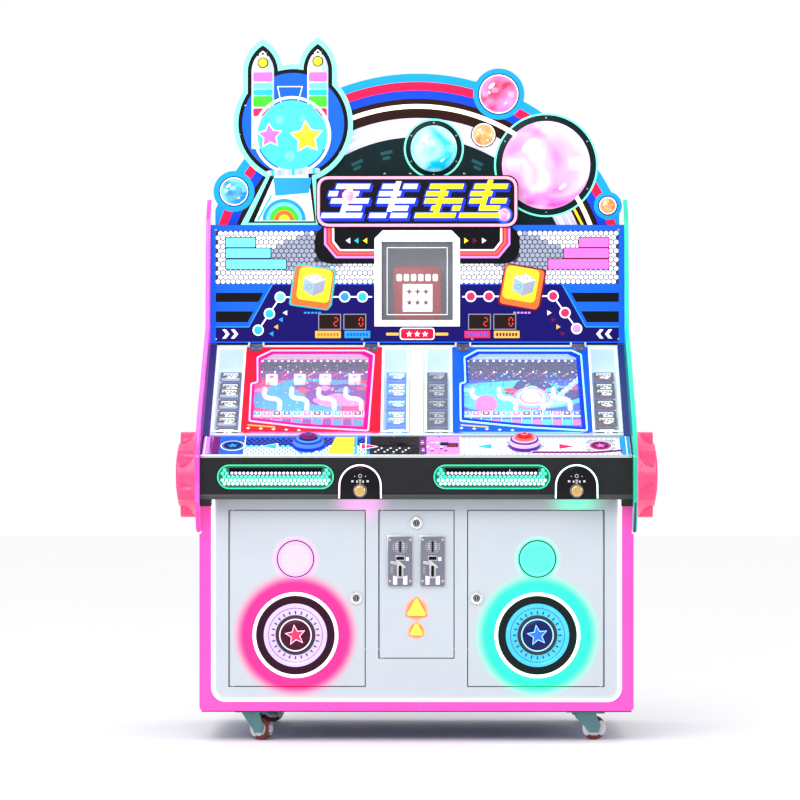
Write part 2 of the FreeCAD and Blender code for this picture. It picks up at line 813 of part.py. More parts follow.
def control_box():
    """The box across the front, open at the top and towards the cabinet."""
    outer = prism("YZ", [("fascia_face", "control_low"), ("body_front", "control_low"),
                         ("body_front", deck_under("body_front")),
                         ("fascia_face", deck_under("fascia_face"))],
                  ("-cabinet_half", "cabinet_half"))
    inner = block((f"-({WALL_IN})", WALL_IN),
                  ("fascia_face + fascia_thick", "body_front + wall"),
                  ("control_low + control_floor", "fascia_top + 3 * wall"))
    through = ("fascia_face - wall", "fascia_face + fascia_thick + wall")
    holes = []
    for sign in (-1, 1):
        holes.append(card_slot(sign, through))
        x = f"{sign} * station_x + launcher_from_station"
        holes.append(rod("y", "plunger_hole", through, x, "plunger_level"))
    box = cut(outer, inner, *holes)
    corner = block(("cabinet_half - corner_block_wide", "cabinet_half"),
                   ("fascia_face", "surround_face"), ("corner_block_low", "control_low"))
    name("control_box", join(box, corner, mirrored(corner)))


def card_slot(sign, through):
    x = f"{sign} * station_x + grille_from_station"
    return block((f"{x} - card_slot_long / 2", f"{x} + card_slot_long / 2"), through,
                 ("card_slot_level - card_slot_tall / 2", "card_slot_level + card_slot_tall / 2"))


def slot_grilles():
    """A long lit grille at each player's place, with the card slot through it."""
    plates = []
    for sign in (-1, 1):
        x = f"{sign} * station_x + grille_from_station"
        low = "grille_level - grille_tall / 2"
        high = "grille_level + grille_tall / 2"
        ends = (f"{x} - grille_long / 2", f"{x} + grille_long / 2")
        corners = [(ends[0], low), (ends[1], low), (ends[1], high), (ends[0], high)]
        plate = prism("XZ", corners, ("fascia_face - grille_thick", "fascia_face"),
                      "grille_tall / 2 - round_end_short", (0, 1, 2, 3))
        plates.append(cut(plate, card_slot(sign, ("fascia_face - wall", "fascia_face + wall"))))
    name("slot_grilles", group(*plates))


def launcher_plates():
    """The arched plate that guides each plunger."""
    plates = []
    for sign in (-1, 1):
        x = f"{sign} * station_x + launcher_from_station"
        depth = ("fascia_face - launcher_thick", "fascia_face")
        arch = rod("y", "launcher_half", depth, x, "launcher_top - launcher_half")
        foot = block((f"{x} - launcher_half", f"{x} + launcher_half"), depth,
                     ("launcher_low", "launcher_top - launcher_half"))
        below = block((f"{x} - launcher_half", f"{x} + launcher_half"), depth,
                      ("launcher_low - launcher_half", "launcher_low"))
        bore = rod("y", "plunger_rod + running_fit", ("fascia_face - wall", "fascia_face + wall"),
                   x, "plunger_level")
        plates.append(cut(join(arch, foot), below, bore))
    name("launcher_plates", group(*plates))


def plunger(side, sign):
    """The pulled knob, its rod and the head that strikes the marble."""
    stem = rod("z", "plunger_rod", (0, "plunger_end - plunger_front"), 0, 0)
    knob = turned([(0, 0), ("plunger_knob", 0), ("plunger_knob", "knob_long"),
                   ("plunger_rod", "knob_long"), (0, "knob_long")],
                  "plunger_rod", (1, 2))
    head = rod("z", "plunger_head", ("plunger_end - plunger_front - plunger_head_long",
                                     "plunger_end - plunger_front"), 0, 0)
    x = f"{sign} * station_x + launcher_from_station"
    piece = place(join(stem, knob, head), x, "plunger_front", "plunger_level", (1, 0, 0), -90)
    name(f"{side}_plunger", piece)


def deck_panel():
    """The sloping control deck, with a hole for each dial's shaft."""
    plate = block(("-cabinet_half", "cabinet_half"), (0, "deck_long"), ("-deck_thick", 0))
    for sign in (-1, 1):
        hole = rod("z", "dial_shaft + running_fit", ("-2 * deck_thick", "deck_thick"),
                   f"{sign} * dial_x", "deck_long / 2")
        plate = cut(plate, hole)
    name("deck_panel", on_deck(plate))


def dial(side, sign):
    """A round dial that turns on the deck, with a well for its push button."""
    body = turned([(0, "-dial_shaft_deep"), ("dial_shaft", "-dial_shaft_deep"),
                   ("dial_shaft", "seat_gap"), ("dial_radius", "seat_gap"),
                   ("dial_radius", "dial_high / 3"), ("dial_shoulder", "dial_high"),
                   ("button_radius + button_gap", "dial_high"),
                   ("button_radius + button_gap", "well_floor"), (0, "well_floor")],
                  "dial_high / 8", (4, 5))
    name(f"{side}_dial", on_deck(body, f"{sign} * dial_x", "deck_long / 2"))


def button(side, sign):
    """The domed push button in the middle of a dial."""
    low = "well_floor + button_travel"
    body = turned([(0, low), ("button_radius", low), ("button_radius", "button_high"),
                   (0, "button_high")], "button_round", (2,))
    name(f"{side}_button", on_deck(body, f"{sign} * dial_x", "deck_long / 2"))


def play_tub():
    """The white tray under the glass: outer walls, bay walls, middle post and hinge ears."""
    deep = ("-tub_deep", 0)
    half = WALL_IN
    outer = block((f"-({half})", half), (0, "play_long"), deep)
    inside = ("tub_skin", "play_long - tub_skin")
    above = ("tub_floor - tub_deep", "tub_deep")
    spans = [("post_half", "inner_bay"), ("inner_bay + bay_wall", "outer_bay - bay_wall"),
             ("outer_bay", f"{half} - tub_skin")]
    hollows = []
    for span in spans:
        hollow = block(span, inside, above)
        hollows += [hollow, mirrored(hollow)]
    tub = cut(outer, *hollows)
    ears = []
    for centre in clamp_centres():
        for sign in (-1, 1):
            near = f"{centre} + {sign} * (clamp_wide / 2 + seat_gap + ear_thick / 2)"
            block_ear = block((f"{near} - ear_thick / 2", f"{near} + ear_thick / 2"),
                              ("lid_axis - clamp_barrel", "play_long"),
                              ("-tub_skin", "lid_axis_high + clamp_barrel"))
            bore = rod("x", "pivot_radius", (f"{near} - ear_thick", f"{near} + ear_thick"),
                       "lid_axis", "lid_axis_high")
            ear = cut(block_ear, bore)
            ears += [ear, mirrored(ear)]
    notches = []
    for centre in clamp_centres():
        notch = block((f"{centre} - clamp_wide / 2 - seat_gap", f"{centre} + clamp_wide / 2 + seat_gap"),
                      ("lid_axis - 2 * clamp_barrel", "play_long + tub_skin"),
                      ("-clamp_barrel", "clamp_barrel"))
        notches += [notch, mirrored(notch)]
    name("play_tub", on_play(join(cut(tub, *notches), *ears)))


def clamp_centres():
    """x of the two hinge clamps of the right lid."""
    inner = "post_half + lid_gap"
    long = f"({WALL_IN} - lid_gap - ({inner}))"
    return [f"({inner} + clamp_share * {long})", f"({inner} + (1 - clamp_share) * {long})"]


def lid_axis_front():
    return "play_front + lid_axis * cos(play_angle) - lid_axis_high * sin(play_angle)"


def lid_axis_level():
    return "play_level + lid_axis * sin(play_angle) + lid_axis_high * cos(play_angle)"


def lid(side, sign):
    """A glass lid over one playfield, with its two hinge clamps."""
    low = "seat_gap"
    high = "seat_gap + lid_thick"
    pane = block(("post_half + lid_gap", f"{WALL_IN} - lid_gap"), ("lid_near", "lid_far"),
                 (low, high))
    pieces = [pane]
    for centre in clamp_centres():
        across = (f"{centre} - clamp_wide / 2", f"{centre} + clamp_wide / 2")
        plate = block(across, ("clamp_back", "lid_axis"), (high, f"{high} + clamp_plate"))
        barrel = rod("x", "clamp_barrel", across, "lid_axis", "lid_axis_high")
        web = block(across, ("lid_far", "lid_axis"), (low, high))
        bore = rod("x", "pivot_radius + running_fit", (f"{centre} - clamp_wide",
                                                       f"{centre} + clamp_wide"),
                   "lid_axis", "lid_axis_high")
        pieces.append(cut(join(plate, barrel, web), bore))
    whole = join(*pieces)
    name(f"{side}_lid", on_play(mirrored(whole) if sign < 0 else whole))


def play_boards():
    """The playfield of each player, held between the bay walls."""
    board = block(("inner_bay + bay_wall", "outer_bay - bay_wall"),
                  ("tub_skin", "play_long - tub_skin"),
                  ("board_level - board_thick", "board_level"))
    name("play_boards", on_play(group(board, mirrored(board))))


def board_pins():
    """Brass pins in staggered rows over each playfield."""
    pins = []
    for row in range(PIN_ROWS):
        shift = f"{row % 2} * pin_pitch / 2"
        for column in range(PINS_IN_ROW):
            x = f"inner_bay + bay_wall + pin_pitch * {column + 1} + {shift}"
            pin = rod("z", "pin_radius", ("board_level", "board_level + pin_tall"),
                      x, f"pin_first_row + pin_row * {row}")
            pins += [pin, mirrored(pin)]
    name("board_pins", on_play(group(*pins)))


def guide_tubes():
    """S-shaped tubes that a marble runs down, four on each playfield."""
    bend = value("tube_bend")
    run = value("tube_run")
    middle = value("board_level + tube_radius")
    start = value("tube_start")
    tubes = []
    for sign in (-1, 1):
        for index in range(TUBES):
            x = value(f"{sign} * (inner_bay + outer_bay) / 2 + tube_first + tube_pitch * {index}")
            path = s_path(x, start, middle, bend, run)
            outer = sweep(path, value("tube_radius"))
            inner = sweep(path, value("tube_bore"))
            tubes.append(outer.cut(inner))
    feature = DOC.addObject("Part::Feature", "Tubes")
    feature.Shape = Part.makeCompound(tubes)
    name("guide_tubes", on_play(feature))


def s_path(x, start, level, bend, run):
    """Down, across in two quarter turns, and down again."""
    def point(across, down):
        return FreeCAD.Vector(x + across, start - down, level)
    half = math.sqrt(0.5) * bend
    turn = point(bend, run + bend)
    edges = [
        Part.LineSegment(point(0, 0), point(0, run)),
        Part.Arc(point(0, run), point(bend - half, run + half), turn),
        Part.Arc(turn, point(bend + half, run + 2 * bend - half), point(2 * bend, run + 2 * bend)),
        Part.LineSegment(point(2 * bend, run + 2 * bend), point(2 * bend, 2 * run + 2 * bend)),
    ]
    return Part.Wire([edge.toShape() for edge in edges])


def sweep(path, radius):
    begin = path.Edges[0].Vertexes[0].Point
    ring = Part.Wire(Part.makeCircle(radius, begin, FreeCAD.Vector(0, -1, 0)))
    return path.makePipeShell([ring], True, False)


def prize_packs():
    """Stacks of packs in the four bays, and the prize in the showcase."""
    packs = []
    spans = [("post_half + pack_margin", "inner_bay - pack_margin"),
             ("outer_bay + pack_margin", f"{WALL_IN} - tub_skin - pack_margin")]
    for span in spans:
        for index in range(PACKS):
            start = f"tub_skin + pack_margin + {index} * (pack_long + seat_gap)"
            low = "tub_floor - tub_deep"
            pack = block(span, (start, f"{start} + pack_long"),
                         (low, f"{low} + pack_thick + {index % PACK_STEPS} * pack_step / {PACK_STEPS}"))
            packs += [pack, mirrored(pack)]
    middle = "backbox_face + showcase_deep / 2"
    prize = block(("-prize_half", "prize_half"),
                  (f"{middle} - prize_deep / 2", f"{middle} + prize_deep / 2"),
                  ("showcase_open_low", "showcase_open_low + prize_tall"))
    name("prize_packs", group(on_play(group(*packs)), prize))


def backbox_shell():
    """The backbox: five walls, open at the front."""
    outer = block(("-cabinet_half", "cabinet_half"), ("backbox_face + backbox_panel", "back_face"),
                  ("body_top", "backbox_top"))
    inner = block((f"-({WALL_IN})", WALL_IN), ("backbox_face - wall", "back_face - wall"),
                  ("body_top + wall", "backbox_top - wall"))
    name("backbox_shell", cut(outer, inner))


def backbox_panel():
    plate = block(("-cabinet_half", "cabinet_half"),
                  ("backbox_face", "backbox_face + backbox_panel"), ("body_top", "backbox_top"))
    window = block(("-showcase_open_half - showcase_skin", "showcase_open_half + showcase_skin"),
                   ("backbox_face - wall", "backbox_face + wall"),
                   ("showcase_open_low - showcase_skin", "showcase_open_high + showcase_skin"))
    name("backbox_panel", cut(plate, window))


def chamfered(half, low, high, corner):
    """Corners of a window whose two top corners are cut off."""
    return [(f"-({half})", low), (half, low), (half, f"{high} - {corner}"),
            (f"{half} - {corner}", high), (f"-({half}) + {corner}", high),
            (f"-({half})", f"{high} - {corner}")]


def showcase_frame():
    """The white window frame and the box behind it that holds the prize."""
    frame = prism("XZ", chamfered("showcase_half", "showcase_low", "showcase_high",
                                  "showcase_corner"),
                  ("backbox_face - showcase_proud", "backbox_face"))
    tub = block(("-showcase_open_half - showcase_skin", "showcase_open_half + showcase_skin"),
                ("backbox_face - showcase_proud / 2", "backbox_face + showcase_deep"),
                ("showcase_open_low - showcase_skin", "showcase_open_high + showcase_skin"))
    hollow = block(("-showcase_open_half", "showcase_open_half"),
                   ("backbox_face - wall", "backbox_face + showcase_deep - showcase_skin"),
                   ("showcase_open_low", "showcase_open_high"))
    name("showcase_frame", cut(join(frame, tub), hollow))


def showcase_glass():
    pane = block(("-showcase_open_half", "showcase_open_half"),
                 ("backbox_face - showcase_pane", "backbox_face"),
                 ("showcase_open_low", "showcase_open_high"))
    name("showcase_glass", pane)


def score_displays():
    """Two digit windows and two labels on each side of the showcase."""
    modules = []
    depth = ("backbox_face - display_proud", "backbox_face")
    for place_word, half, low, high in (
            ("display_inner_x", "display_half", "display_low", "display_high"),
            ("display_outer_x", "display_half", "display_low", "display_high"),
            ("label_inner_x", "label_half", "label_low", "label_high"),
            ("label_outer_x", "label_half", "label_low", "label_high")):
        module = block((f"{place_word} - {half}", f"{place_word} + {half}"), depth, (low, high))
        modules += [module, mirrored(module)]
    name("score_displays", group(*modules))


def arch_plate():
    """The tall arch behind the title, with a bump round each lamp at its edge."""
    front = ("arch_front", "arch_front + plate_thick")
    disc = rod("y", "arch_radius", front, 0, "arch_level")
    frame = block(("-arch_half", "arch_half"), ("arch_front - wall", "arch_front + 2 * wall"),
                  ("backbox_top", "arch_level + arch_radius + wall"))
    arch = overlap(disc, frame)
    bumps = []
    for lamp, values in ARCH_LAMPS.items():
        if values[3]:
            bumps.append(rod("y", f"{lamp}_bump", front, f"{lamp}_x", f"{lamp}_level"))
    name("arch_plate", join(arch, *bumps))


def rocket_plate():
    """The plate at the left: a porthole disc, two pointed rockets and a foot."""
    front = ("rocket_front", "rocket_front + plate_thick")
    disc = rod("y", "rocket_radius", front, "rocket_x", "rocket_level")
    pieces = [disc]
    for side in ("left", "right"):
        x = f"tower_{side}_x"
        half = f"tower_{side}_half"
        shoulder = f"tower_{side}_top - nose_tall"
        arc = f"({half} * {half} + nose_tall * nose_tall) / (2 * {half})"
        left_arc = rod("y", arc, front, f"{x} - {arc} + {half}", shoulder)
        right_arc = rod("y", arc, front, f"{x} + {arc} - {half}", shoulder)
        above = block((f"{x} - {half}", f"{x} + {half}"), front,
                      (shoulder, f"{shoulder} + nose_tall + wall"))
        pieces.append(overlap(overlap(left_arc, right_arc), above))
        pieces.append(block((f"{x} - {half}", f"{x} + {half}"), front,
                            ("rocket_level", shoulder)))
    foot = prism("XZ", [("rocket_foot_left", "backbox_top"), ("rocket_foot_right", "backbox_top"),
                        ("rocket_x + rocket_neck_half", "rocket_foot_high"),
                        ("rocket_x - rocket_neck_half", "rocket_foot_high")], front)
    name("rocket_plate", join(*pieces, foot))


def title_plate():
    corners = [("-title_half", "title_low"), ("title_half", "title_low"),
               ("title_half", "title_high"), ("-title_half", "title_high")]
    name("title_plate", prism("XZ", corners, ("backbox_face - title_thick", "backbox_face"),
                              "title_corner", (0, 1, 2, 3)))


def dome(radius, x, level, face):
    """A lamp's dome, a slice of a larger ball whose flat back lies on a plate's face."""
    ball = DOC.addObject("Part::Sphere", "Ball")
    whole = f"{radius} * (1 + dome_rise * dome_rise) / (2 * dome_rise)"
    bind(ball, Radius=whole)
    place(ball, x, f"{face} - {radius} * dome_rise + {whole}", level)
    front = block((f"{x} - {radius} - wall", f"{x} + {radius} + wall"),
                  (f"{face} - {radius} * dome_rise - wall", face),
                  (f"{level} - {radius} - wall", f"{level} + {radius} + wall"))
    return overlap(ball, front)


def ball_lamps():
    domes = []
    for lamps, face in ((ARCH_LAMPS, "arch_front"), (TITLE_LAMPS, "backbox_face - title_thick")):
        for lamp in lamps:
            domes.append(dome(f"{lamp}_ball", f"{lamp}_x", f"{lamp}_level", face))
    name("ball_lamps", group(*domes))


def side_wings():
    """The two side panels that stand proud of the cabinet's outline."""
    profile = [("arch_front", "wing_tip"),
               ("backbox_face - 0.5 * wing_round", "wing_tip - 2 * wing_round"),
               ("backbox_face - 1.5 * wing_round", "body_top + 1.5 * wing_round"),
               ("wing_nose + 3 * wing_round", "fascia_top + 3.5 * wing_round"),
               ("wing_nose", "fascia_top"),
               ("wing_nose", "wing_toe + 3 * wing_round"),
               ("wing_nose + 2 * wing_round", "wing_toe"),
               ("shell_y", "control_low - wing_round"),
               ("backbox_face", "body_top - 5 * wing_round"),
               ("arch_front + wing_round", "backbox_top - 2 * wing_round")]
    wing = prism("YZ", profile, ("cabinet_half", "cabinet_half + wing_thick"), "wing_round",
                 (3, 4, 5, 6))
    name("side_wings", group(wing, mirrored(wing)))


def side_shells():
    """The moulded shell on each wing: stepped rings and six lobes."""
    start = "cabinet_half + wing_thick"
    profile = [(0, 0), ("shell_radius", 0), ("shell_radius - shell_brim", "shell_brim_high"),
               ("shell_radius - shell_crown", "shell_crown_high"),
               ("shell_radius - shell_ledge", "shell_crown_high"),
               ("shell_radius - shell_ledge", "shell_ledge_high"),
               ("shell_radius - shell_cap", "shell_ledge_high"),
               ("shell_radius - shell_cap - shell_cap_slope", "shell_proud"), (0, "shell_proud")]
    boss = turned(profile, "shell_round", (2, 3))
    lobes = []
    for index in range(SHELL_LOBES):
        angle = 360 / SHELL_LOBES * index
        lobe = rod("z", "lobe_radius", (0, "lobe_high"),
                   f"(shell_radius - lobe_inset) * cos({angle})",
                   f"(shell_radius - lobe_inset) * sin({angle})")
        lobes.append(lobe)
    shell = place(join(boss, *lobes), start, "shell_y", "shell_level", (0, 1, 0), 90)
    name("side_shells", group(shell, mirrored(shell)))


def cash_box():
    """The open box that the coins drop into, behind the coin door."""
    y = ("cash_front", "cash_front + cash_deep")
    outer = block(("-cash_half", "cash_half"), y, (BOARD_TOP, f"{BOARD_TOP} + cash_high"))
    inner = block(("tray_skin - cash_half", "cash_half - tray_skin"),
                  ("cash_front + tray_skin", "cash_front + cash_deep - tray_skin"),
                  (f"{BOARD_TOP} + tray_skin", f"{BOARD_TOP} + cash_high + wall"))
    name("cash_box", cut(outer, inner))


def ball_hopper():
    """The trough between the side walls that catches the marbles: a floor and four sides."""
    x = (f"-({WALL_IN})", WALL_IN)
    z = ("hopper_low + tray_skin", "hopper_high")
    floor = block(x, ("hopper_front", "hopper_back"), ("hopper_low", "hopper_low + tray_skin"))
    front = block(x, ("hopper_front", "hopper_front + tray_skin"), z)
    back = block(x, ("hopper_back - tray_skin", "hopper_back"), z)
    end = block((f"{WALL_IN} - tray_skin", WALL_IN),
                ("hopper_front + tray_skin", "hopper_back - tray_skin"), z)
    name("ball_hopper", group(floor, front, back, end, mirrored(end)))


def power_inlet():
    """The three-pin inlet low in the back wall."""
    x = ("inlet_x - inlet_half", "inlet_x + inlet_half")
    z = ("inlet_level - inlet_tall", "inlet_level + inlet_tall")
    body = block(x, ("back_face - inlet_deep", "back_face"), z)
    mouth = block(("inlet_x - inlet_half / 2", "inlet_x + inlet_half / 2"),
                  ("back_face - 3 * inlet_deep / 4", "back_face + wall"),
                  ("inlet_level - inlet_tall / 2", "inlet_level + inlet_tall / 2"))
    prongs = []
    for place_of in (-1, 0, 1):
        middle = f"inlet_x + {place_of} * prong_pitch"
        prongs.append(block((f"{middle} - prong_half", f"{middle} + prong_half"),
                            ("back_face - inlet_deep", "back_face - inlet_deep / 4"),
                            ("inlet_level - prong_tall", "inlet_level + prong_tall")))
    name("power_inlet", join(cut(body, mouth), *prongs))


def caster_plates():
    """The four fixed plates, each with the kingpin that its fork turns on."""
    plates = []
    for _, side, y, _ in CASTERS:
        x = f"{side} * caster_x"
        half = "caster_plate_half"
        plate = block((f"{x} - {half}", f"{x} + {half}"), (f"{y} - {half}", f"{y} + {half}"),
                      ("base_level - caster_plate_thick", "base_level"))
        king = rod("z", "king_radius", (f"{CROWN_LOW} + seat_gap",
                                        "base_level - caster_plate_thick"), x, y)
        plates.append(join(plate, king))
    name("caster_plates", group(*plates))


CROWN_TOP = "base_level - caster_plate_thick - seat_gap"
CROWN_LOW = f"{CROWN_TOP} - crown_thick"


def at_caster(piece, side, y, turn):
    return place(piece, f"{side} * caster_x", y, 0, (0, 0, 1), turn)


def caster_fork(label, side, y, turn):
    """A crown, two cheeks and the axle, made with the wheel trailing towards +X."""
    crown = rod("z", "crown_radius", (CROWN_LOW, CROWN_TOP), 0, 0)
    bore = rod("z", "king_radius + running_fit", (f"{CROWN_LOW} - wall", f"{CROWN_TOP} + wall"), 0, 0)
    inner = "wheel_half + cheek_gap"
    outer = "wheel_half + cheek_gap + cheek_thick"
    low = "wheel_radius - hub_radius * cheek_nose"
    profile = [("-crown_radius * cheek_back", CROWN_LOW),
               ("caster_trail - hub_radius * cheek_nose", low),
               ("caster_trail + hub_radius * cheek_nose", low),
               ("caster_trail + hub_radius", "wheel_radius + cheek_rise"),
               ("pedal_x + crown_thick", CROWN_TOP), ("-crown_radius * cheek_back", CROWN_TOP)]
    right = prism("XZ", profile, (inner, outer))
    left = prism("XZ", profile, (f"-({outer})", f"-({inner})"))
    axle = rod("y", "wheel_bore", (f"-({outer})", outer), "caster_trail", "wheel_radius")
    pieces = [cut(crown, bore), left, right, axle]
    if label.startswith("front"):
        pieces.append(rod("y", "pedal_pin", (f"-({outer})", outer), "pedal_x", "pedal_level"))
    name(f"caster_fork_{label}", at_caster(join(*pieces), side, y, turn))


def caster_wheel(label, side, y, turn):
    tread = turned([("wheel_bore + running_fit", "-wheel_half"), ("hub_radius", "-wheel_half"),
                    ("hub_radius", "groove_deep - wheel_half"),
                    ("hub_radius + hub_groove", "groove_deep - wheel_half"),
                    ("hub_radius + hub_groove", "-wheel_half"), ("wheel_radius", "-wheel_half"),
                    ("wheel_radius", "wheel_half"), ("hub_radius + hub_groove", "wheel_half"),
                    ("hub_radius + hub_groove", "wheel_half - groove_deep"),
                    ("hub_radius", "wheel_half - groove_deep"),
                    ("hub_radius", "wheel_half"), ("wheel_bore + running_fit", "wheel_half")],
                   "tread_round", (5, 6))
    place(tread, "caster_trail", 0, "wheel_radius", (1, 0, 0), 90)
    name(f"caster_wheel_{label}", at_caster(group(tread), side, y, turn))


def brake_pedal(label, side, y, turn):
    """The foot pedal over a front wheel, with a bore for its pin."""
    knuckle = rod("y", "pedal_pin + pedal_thick / 2", ("-pedal_half", "pedal_half"), "pedal_x",
                  "pedal_level")
    plate = block(("pedal_x", "pedal_x + pedal_long"), ("-pedal_half", "pedal_half"),
                  ("pedal_level + pedal_pin - pedal_thick / 2",
                   "pedal_level + pedal_pin + pedal_thick / 2"))
    bore = rod("y", "pedal_pin + running_fit", ("-2 * pedal_half", "2 * pedal_half"), "pedal_x",
               "pedal_level")
    name(f"brake_pedal_{label}", at_caster(cut(join(knuckle, plate), bore), side, y, turn))


def build():
    for make in (base_frame, cabinet_walls, front_surround, front_panel, coin_door, rear_door,
                 hinge_pins, coin_acceptors, arrow_lamps, control_box, slot_grilles,
                 launcher_plates, deck_panel, play_tub, play_boards, board_pins, guide_tubes,
                 prize_packs, backbox_shell, backbox_panel, showcase_frame, showcase_glass,
                 score_displays, arch_plate, rocket_plate, title_plate,
                 ball_lamps, side_wings, side_shells, cash_box, ball_hopper, power_inlet,
                 caster_plates):
        make()
    for side, sign in LEFT_RIGHT:
        for make in (side_door, speaker, return_lever, plunger, dial, button, lid):
            make(side, sign)
        lock(f"{side}_lock", f"{sign} * lock_x", "lock_level", "cam_long", 0)
    lock("coin_lock", 0, "coin_lock_level", "coin_cam_long", 90)
    for label, side, y, turn in CASTERS:
        caster_fork(label, side, y, turn)
        caster_wheel(label, side, y, turn)
        if label.startswith("front"):
            brake_pedal(label, side, y, turn)


def check():
    """Stop before anything is written if an object failed or a sub-part is not sound."""
    for thing in DOC.Objects:
        if "Invalid" in thing.State or "Error" in thing.State:
            raise SystemExit(f"{thing.Label} ({thing.Name}) failed: {thing.State}")
    for piece in NODES:
        if piece.Shape.isNull() or not piece.Shape.isValid():
            raise SystemExit(f"{piece.Label} has no sound shape")


def write():
    os.makedirs("parts", exist_ok=True)
    for piece in NODES:
        piece.Shape.exportStep(f"parts/{piece.Label}.step")
        print(f"{piece.Label}: {len(piece.Shape.Solids)} solids, {piece.Shape.Volume:.0f} mm3")
    print(f"{len(NODES)} sub-parts")


fill_sheet()
build()
DOC.recompute()
check()
write()
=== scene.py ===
import math
import random
import bmesh
import bpy
from mathutils import Matrix, Vector


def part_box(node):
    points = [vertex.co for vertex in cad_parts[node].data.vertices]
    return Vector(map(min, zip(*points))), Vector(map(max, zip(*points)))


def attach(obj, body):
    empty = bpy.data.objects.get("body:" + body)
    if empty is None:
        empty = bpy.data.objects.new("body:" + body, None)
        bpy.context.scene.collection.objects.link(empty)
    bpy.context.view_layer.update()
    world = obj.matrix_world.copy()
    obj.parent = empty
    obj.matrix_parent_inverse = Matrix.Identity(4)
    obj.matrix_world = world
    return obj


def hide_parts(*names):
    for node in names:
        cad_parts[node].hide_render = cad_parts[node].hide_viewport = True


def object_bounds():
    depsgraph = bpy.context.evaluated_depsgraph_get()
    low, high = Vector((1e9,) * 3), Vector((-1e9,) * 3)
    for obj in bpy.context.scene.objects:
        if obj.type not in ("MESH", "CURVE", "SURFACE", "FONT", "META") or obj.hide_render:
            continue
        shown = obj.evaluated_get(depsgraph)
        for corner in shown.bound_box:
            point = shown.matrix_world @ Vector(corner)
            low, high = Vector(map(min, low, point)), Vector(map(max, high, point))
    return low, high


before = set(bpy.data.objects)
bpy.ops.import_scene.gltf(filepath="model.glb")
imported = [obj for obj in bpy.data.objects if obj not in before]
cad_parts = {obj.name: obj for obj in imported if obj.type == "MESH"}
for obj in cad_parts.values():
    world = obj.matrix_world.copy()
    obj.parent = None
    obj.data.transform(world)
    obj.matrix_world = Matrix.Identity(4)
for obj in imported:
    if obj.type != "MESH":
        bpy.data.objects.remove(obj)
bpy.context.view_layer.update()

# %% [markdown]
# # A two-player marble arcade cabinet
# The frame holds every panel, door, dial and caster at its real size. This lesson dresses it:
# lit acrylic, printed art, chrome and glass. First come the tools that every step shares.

MM = 0.001

# %% [markdown]
# ## Where things lie
# Flat art lies on the upright fronts, the sloping deck and the sloping play area. A matrix for
# each plane lets every piece be drawn flat, in millimetres, with x across, y up the plane and z
# out of it, and then stood in its place.


# %% Planes that the art lies on
ROW = Matrix.Diagonal((MM, MM, MM, 1))


def upright(front):
    """A plane that faces the player: x right, y up, z towards the player."""
    return Matrix(((MM, 0, 0, 0), (0, 0, -MM, front), (0, MM, 0, 0), (0, 0, 0, 1)))


def slope(front, level, angle):
    """A plane that rises away from the player at an angle in degrees."""
    turn = Matrix.Rotation(math.radians(angle), 4, "X")
    return Matrix.Translation((0, front, level)) @ turn @ ROW


def at(x, y, z=0.0, turn=0.0):
    """A spot on a plane, with a turn in degrees."""
    return Matrix.Translation((x, y, z)) @ Matrix.Rotation(math.radians(turn), 4, "Z")


PANEL = upright(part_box("front_panel")[0].y)
FASCIA = upright(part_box("control_box")[0].y)
BACKBOX = upright(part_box("backbox_panel")[0].y)
TITLE = upright(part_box("title_plate")[0].y)
ARCH = upright(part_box("arch_plate")[0].y)
ROCKET = upright(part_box("rocket_plate")[0].y)
DECK_LEVEL, DECK_ANGLE = 759, 23
PLAY_FRONT, PLAY_LEVEL, PLAY_ANGLE = -245, 812, 35
DECK = slope(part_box("control_box")[0].y, DECK_LEVEL * MM, DECK_ANGLE)
PLAY = slope(PLAY_FRONT * MM, PLAY_LEVEL * MM, PLAY_ANGLE)
print("deck starts", DECK.translation, "play area starts", PLAY.translation)

# %% [markdown]
# ## Making shapes
# Printed art, lenses and plates are thin slabs with softened edges. A slab starts as one face,
# is extruded and has its rim bevelled. Round parts are lathed: a profile is spun about its axis.


# %% Slabs and turned shapes
def slab(points, thick, bevel=0.0, segments=2):
    """A closed outline pushed up by its thickness, with its front edge softened."""
    bm = bmesh.new()
    face = bm.faces.new([bm.verts.new((x, y, 0)) for x, y in points])
    bmesh.ops.recalc_face_normals(bm, faces=[face])
    made = bmesh.ops.extrude_face_region(bm, geom=[face])
    top = [v for v in made["geom"] if isinstance(v, bmesh.types.BMVert)]
    bmesh.ops.translate(bm, verts=top, vec=(0, 0, thick))
    bmesh.ops.recalc_face_normals(bm, faces=bm.faces)
    if bevel:
        rim = [e for e in bm.edges if e.verts[0].co.z > thick / 2 and e.verts[1].co.z > thick / 2]
        bmesh.ops.bevel(bm, geom=rim, offset=bevel, segments=segments, profile=0.5,
                        affect="EDGES", material=-1)
    return bm


def disc_points(radius, count=48, start=0.0, sweep=360.0):
    """Points round a circle, or along an arc of it."""
    steps = count if sweep == 360.0 else count + 1
    angles = [math.radians(start + sweep * i / count) for i in range(steps)]
    return [(radius * math.cos(a), radius * math.sin(a)) for a in angles]


def bar_points(width, height, corner=0.0, steps=6):
    """A rectangle about its middle, with round corners."""
    if not corner:
        w, h = width / 2, height / 2
        return [(-w, -h), (w, -h), (w, h), (-w, h)]
    points = []
    for quarter, (sx, sy) in enumerate(((1, 1), (-1, 1), (-1, -1), (1, -1))):
        middle = (sx * (width / 2 - corner), sy * (height / 2 - corner))
        for x, y in disc_points(corner, steps, 90 * quarter, 90.0):
            points.append((middle[0] + x, middle[1] + y))
    return points


def star_points(outer, inner, arms=5, start=90.0):
    """A star with its first arm at an angle in degrees."""
    points = []
    for i in range(2 * arms):
        a = math.radians(start + 180 * i / arms)
        r = inner if i % 2 else outer
        points.append((r * math.cos(a), r * math.sin(a)))
    return points


